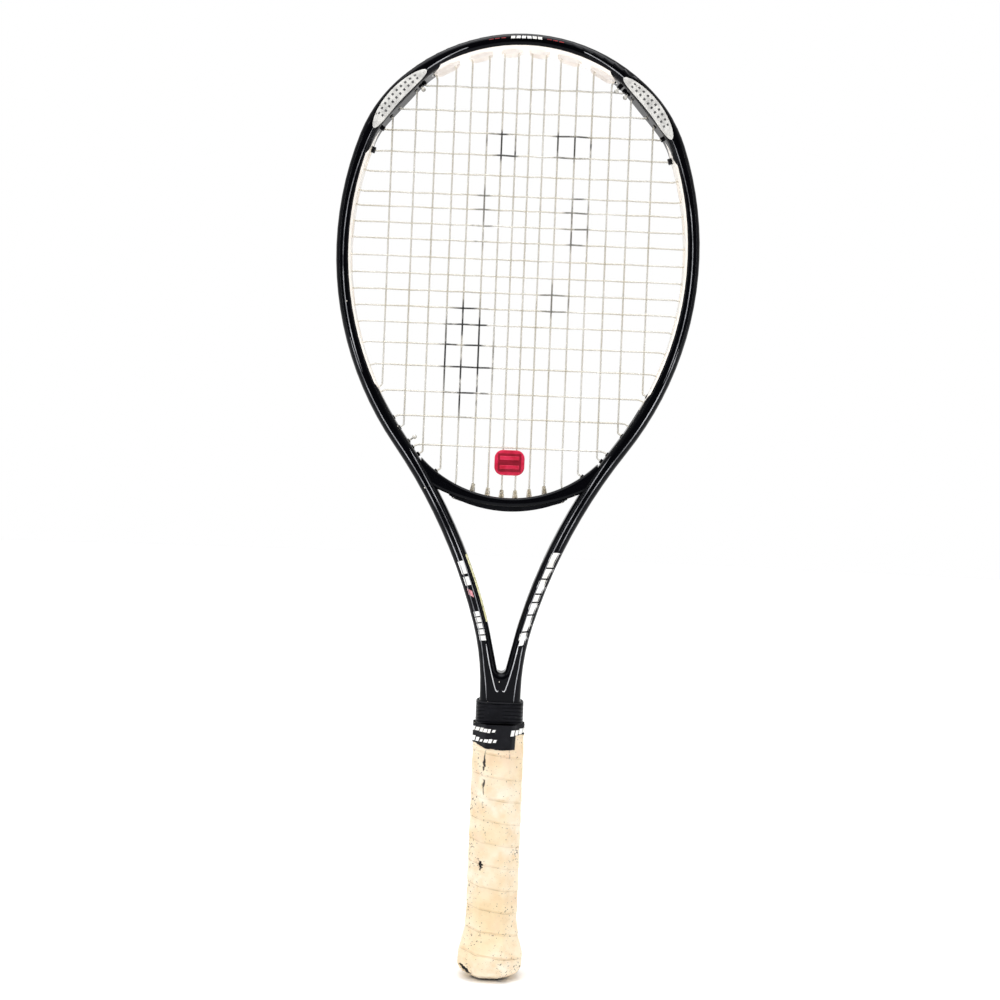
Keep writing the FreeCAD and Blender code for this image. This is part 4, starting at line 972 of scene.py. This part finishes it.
def tapePlace(u, v):
    turn = u - 0.5
    edge = lookUp(tape["edge"], turn) + 0.5 * noise.noise(Vector((turn * 60, 0.3, 0.9)))
    z = edge + (tape["top"] - edge) * v
    angle = turn * 2 * math.pi
    outerTurn = 0.30 if turn < tape["step"] else 0.0
    crease = (noise.noise(Vector((angle * 5, z * 0.35, 2.2))) * 0.16
              + noise.noise(Vector((angle * 14, z, 5.0))) * 0.05)
    return handlePoint(angle, z, tape["proud"] + outerTurn + crease)


def vinylMaterial():
    # calendered vinyl tape: black with a soft sheen, finely grained and scuffed greyer in places
    material, tree, shader = startMaterial("calenderedVinylTape", {
        "Roughness": 0.38, "Specular IOR Level": 0.35, "Specular Tint": darkGlint})
    spot = addNode(tree, "TexCoord", output="Object")
    drift = addNode(tree, "TexNoise", {}, {"Vector": spot, "Scale": 1 / (7 * mm), "Detail": 5}, "Fac")
    colour = addNode(tree, "Mix", {"data_type": "RGBA"},
                     {0: drift, 6: linear("#050506"), 7: linear("#1f1f23")}, 2)
    tree.links.new(colour, shader.inputs["Base Color"])
    relief(tree, shader, spot, 1.1 * mm, 3, 0.5, 0.08 * mm)
    return material


tapeWrap = gridPiece("finishingTapeWrap", tape["columns"], tape["rows"], tapePlace)
mergeClose(tapeWrap, 0.03 * mm)
faceOut(tapeWrap)
applyModifier(tapeWrap, "SOLIDIFY", thickness=tape["thickness"], offset=-1)
finishPiece(tapeWrap, vinylMaterial(), stoodFor=["finishing_tape"], sharpAngle=50)


def tapeMark(x, z, width, height, lean):
    # a worn white mark on the tape's front, lying on its surface
    def place(u, v):
        across = x + (u - 0.5) * width + (v - 0.5) * lean
        deep = handle["halfDepth"] - max(0.0, abs(across) - handle["halfWidth"] + handle["bevel"])
        return handlePoint(math.atan2(across, deep), z + (v - 0.5) * height, tape["proud"] + 0.75)
    mark = gridPiece("print", 6, 6, place)
    faceOut(mark)
    return mark


markScale, markLean = (1.25, 1.15), 0.8
# two rows of plain worn marks on the left and one on the right: middle x and z, width, height, in mm
tapeMarks = [(-17.4, 181.3, 1.6, 2.6), (-14.6, 181.2, 2.0, 2.2), (-11.8, 181.0, 1.6, 2.6), (-9.2, 180.8, 2.0, 2.2),
             (-6.6, 180.6, 1.5, 2.4), (-3.4, 180.6, 1.6, 1.6),
             (-17.2, 174.2, 1.8, 3.2), (-14.4, 173.8, 1.6, 2.6), (-11.8, 173.2, 1.2, 1.6), (-8.6, 173.4, 2.2, 2.0),
             (-5.6, 173.4, 1.8, 2.4), (-2.4, 173.4, 1.6, 1.8), (9.6, 179.4, 1.8, 3.6), (12.4, 179.6, 1.6, 3.2),
             (15.0, 180.4, 1.8, 3.4), (17.4, 181.0, 1.4, 3.0)]
marks = [tapeMark(x, z, markScale[0] * width, markScale[1] * height, markLean)
         for x, z, width, height in tapeMarks]
finishPrints("tapeMarks", marks, printWhite)
print("tape wrapped")


# collar: a ribbed rubber sleeve with a plain panel on its left front

collar = {
    "low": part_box("grip_collar")[0][2] / mm, "high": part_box("grip_collar")[1][2] / mm,
    "halfWidth": 17.3, "halfDepth": 14.2, "slanted": 19.6, "power": 13, "ribs": 5, "ribDepth": 0.75,
    "panel": (-10.5, 3.0, 2.6, 12.6), "panelLift": 0.3, "wall": 1.5, "columns": 120, "rows": 80,
}


def collarPlace(u, v):
    angle = (u - 0.5) * 2 * math.pi
    height = collar["high"] - collar["low"]
    up = v * height
    proud = -0.7 * max(0.0, 1 - up / 0.8) ** 2 - 1.3 * max(0.0, 1 - (height - up) / 1.1) ** 2
    wave = 0.5 - 0.5 * math.cos(2 * math.pi * (up - 1.4) / ((height - 2.8) / collar["ribs"]))
    groove = collar["ribDepth"] * (1 - min(1.0, 2.4 * wave)) if 1.3 < up < height - 1.3 else 0.0
    radius = octagonRadius(angle, collar["halfDepth"] + proud, collar["slanted"] + proud,
                           collar["halfWidth"] + proud, collar["power"])
    x = radius * math.sin(angle)
    left, right, bottom, top = collar["panel"]
    if math.cos(angle) > 0.3 and left < x < right and bottom < up < top:
        edge = min(x - left, right - x, up - bottom, top - up)
        groove = -collar["panelLift"] if edge < 0.7 else 0.1
    radius -= groove
    return radius * math.sin(angle) * mm, -radius * math.cos(angle) * mm, (collar["low"] + up) * mm


collarSleeve = gridPiece("gripCollarSleeve", collar["columns"], collar["rows"], collarPlace)
mergeClose(collarSleeve, 0.03 * mm)
faceOut(collarSleeve)
applyModifier(collarSleeve, "SOLIDIFY", thickness=collar["wall"] * mm, offset=-1)
finishPiece(collarSleeve, rubber, body="collar", stoodFor=["grip_collar"], sharpAngle=60)
print("collar made")
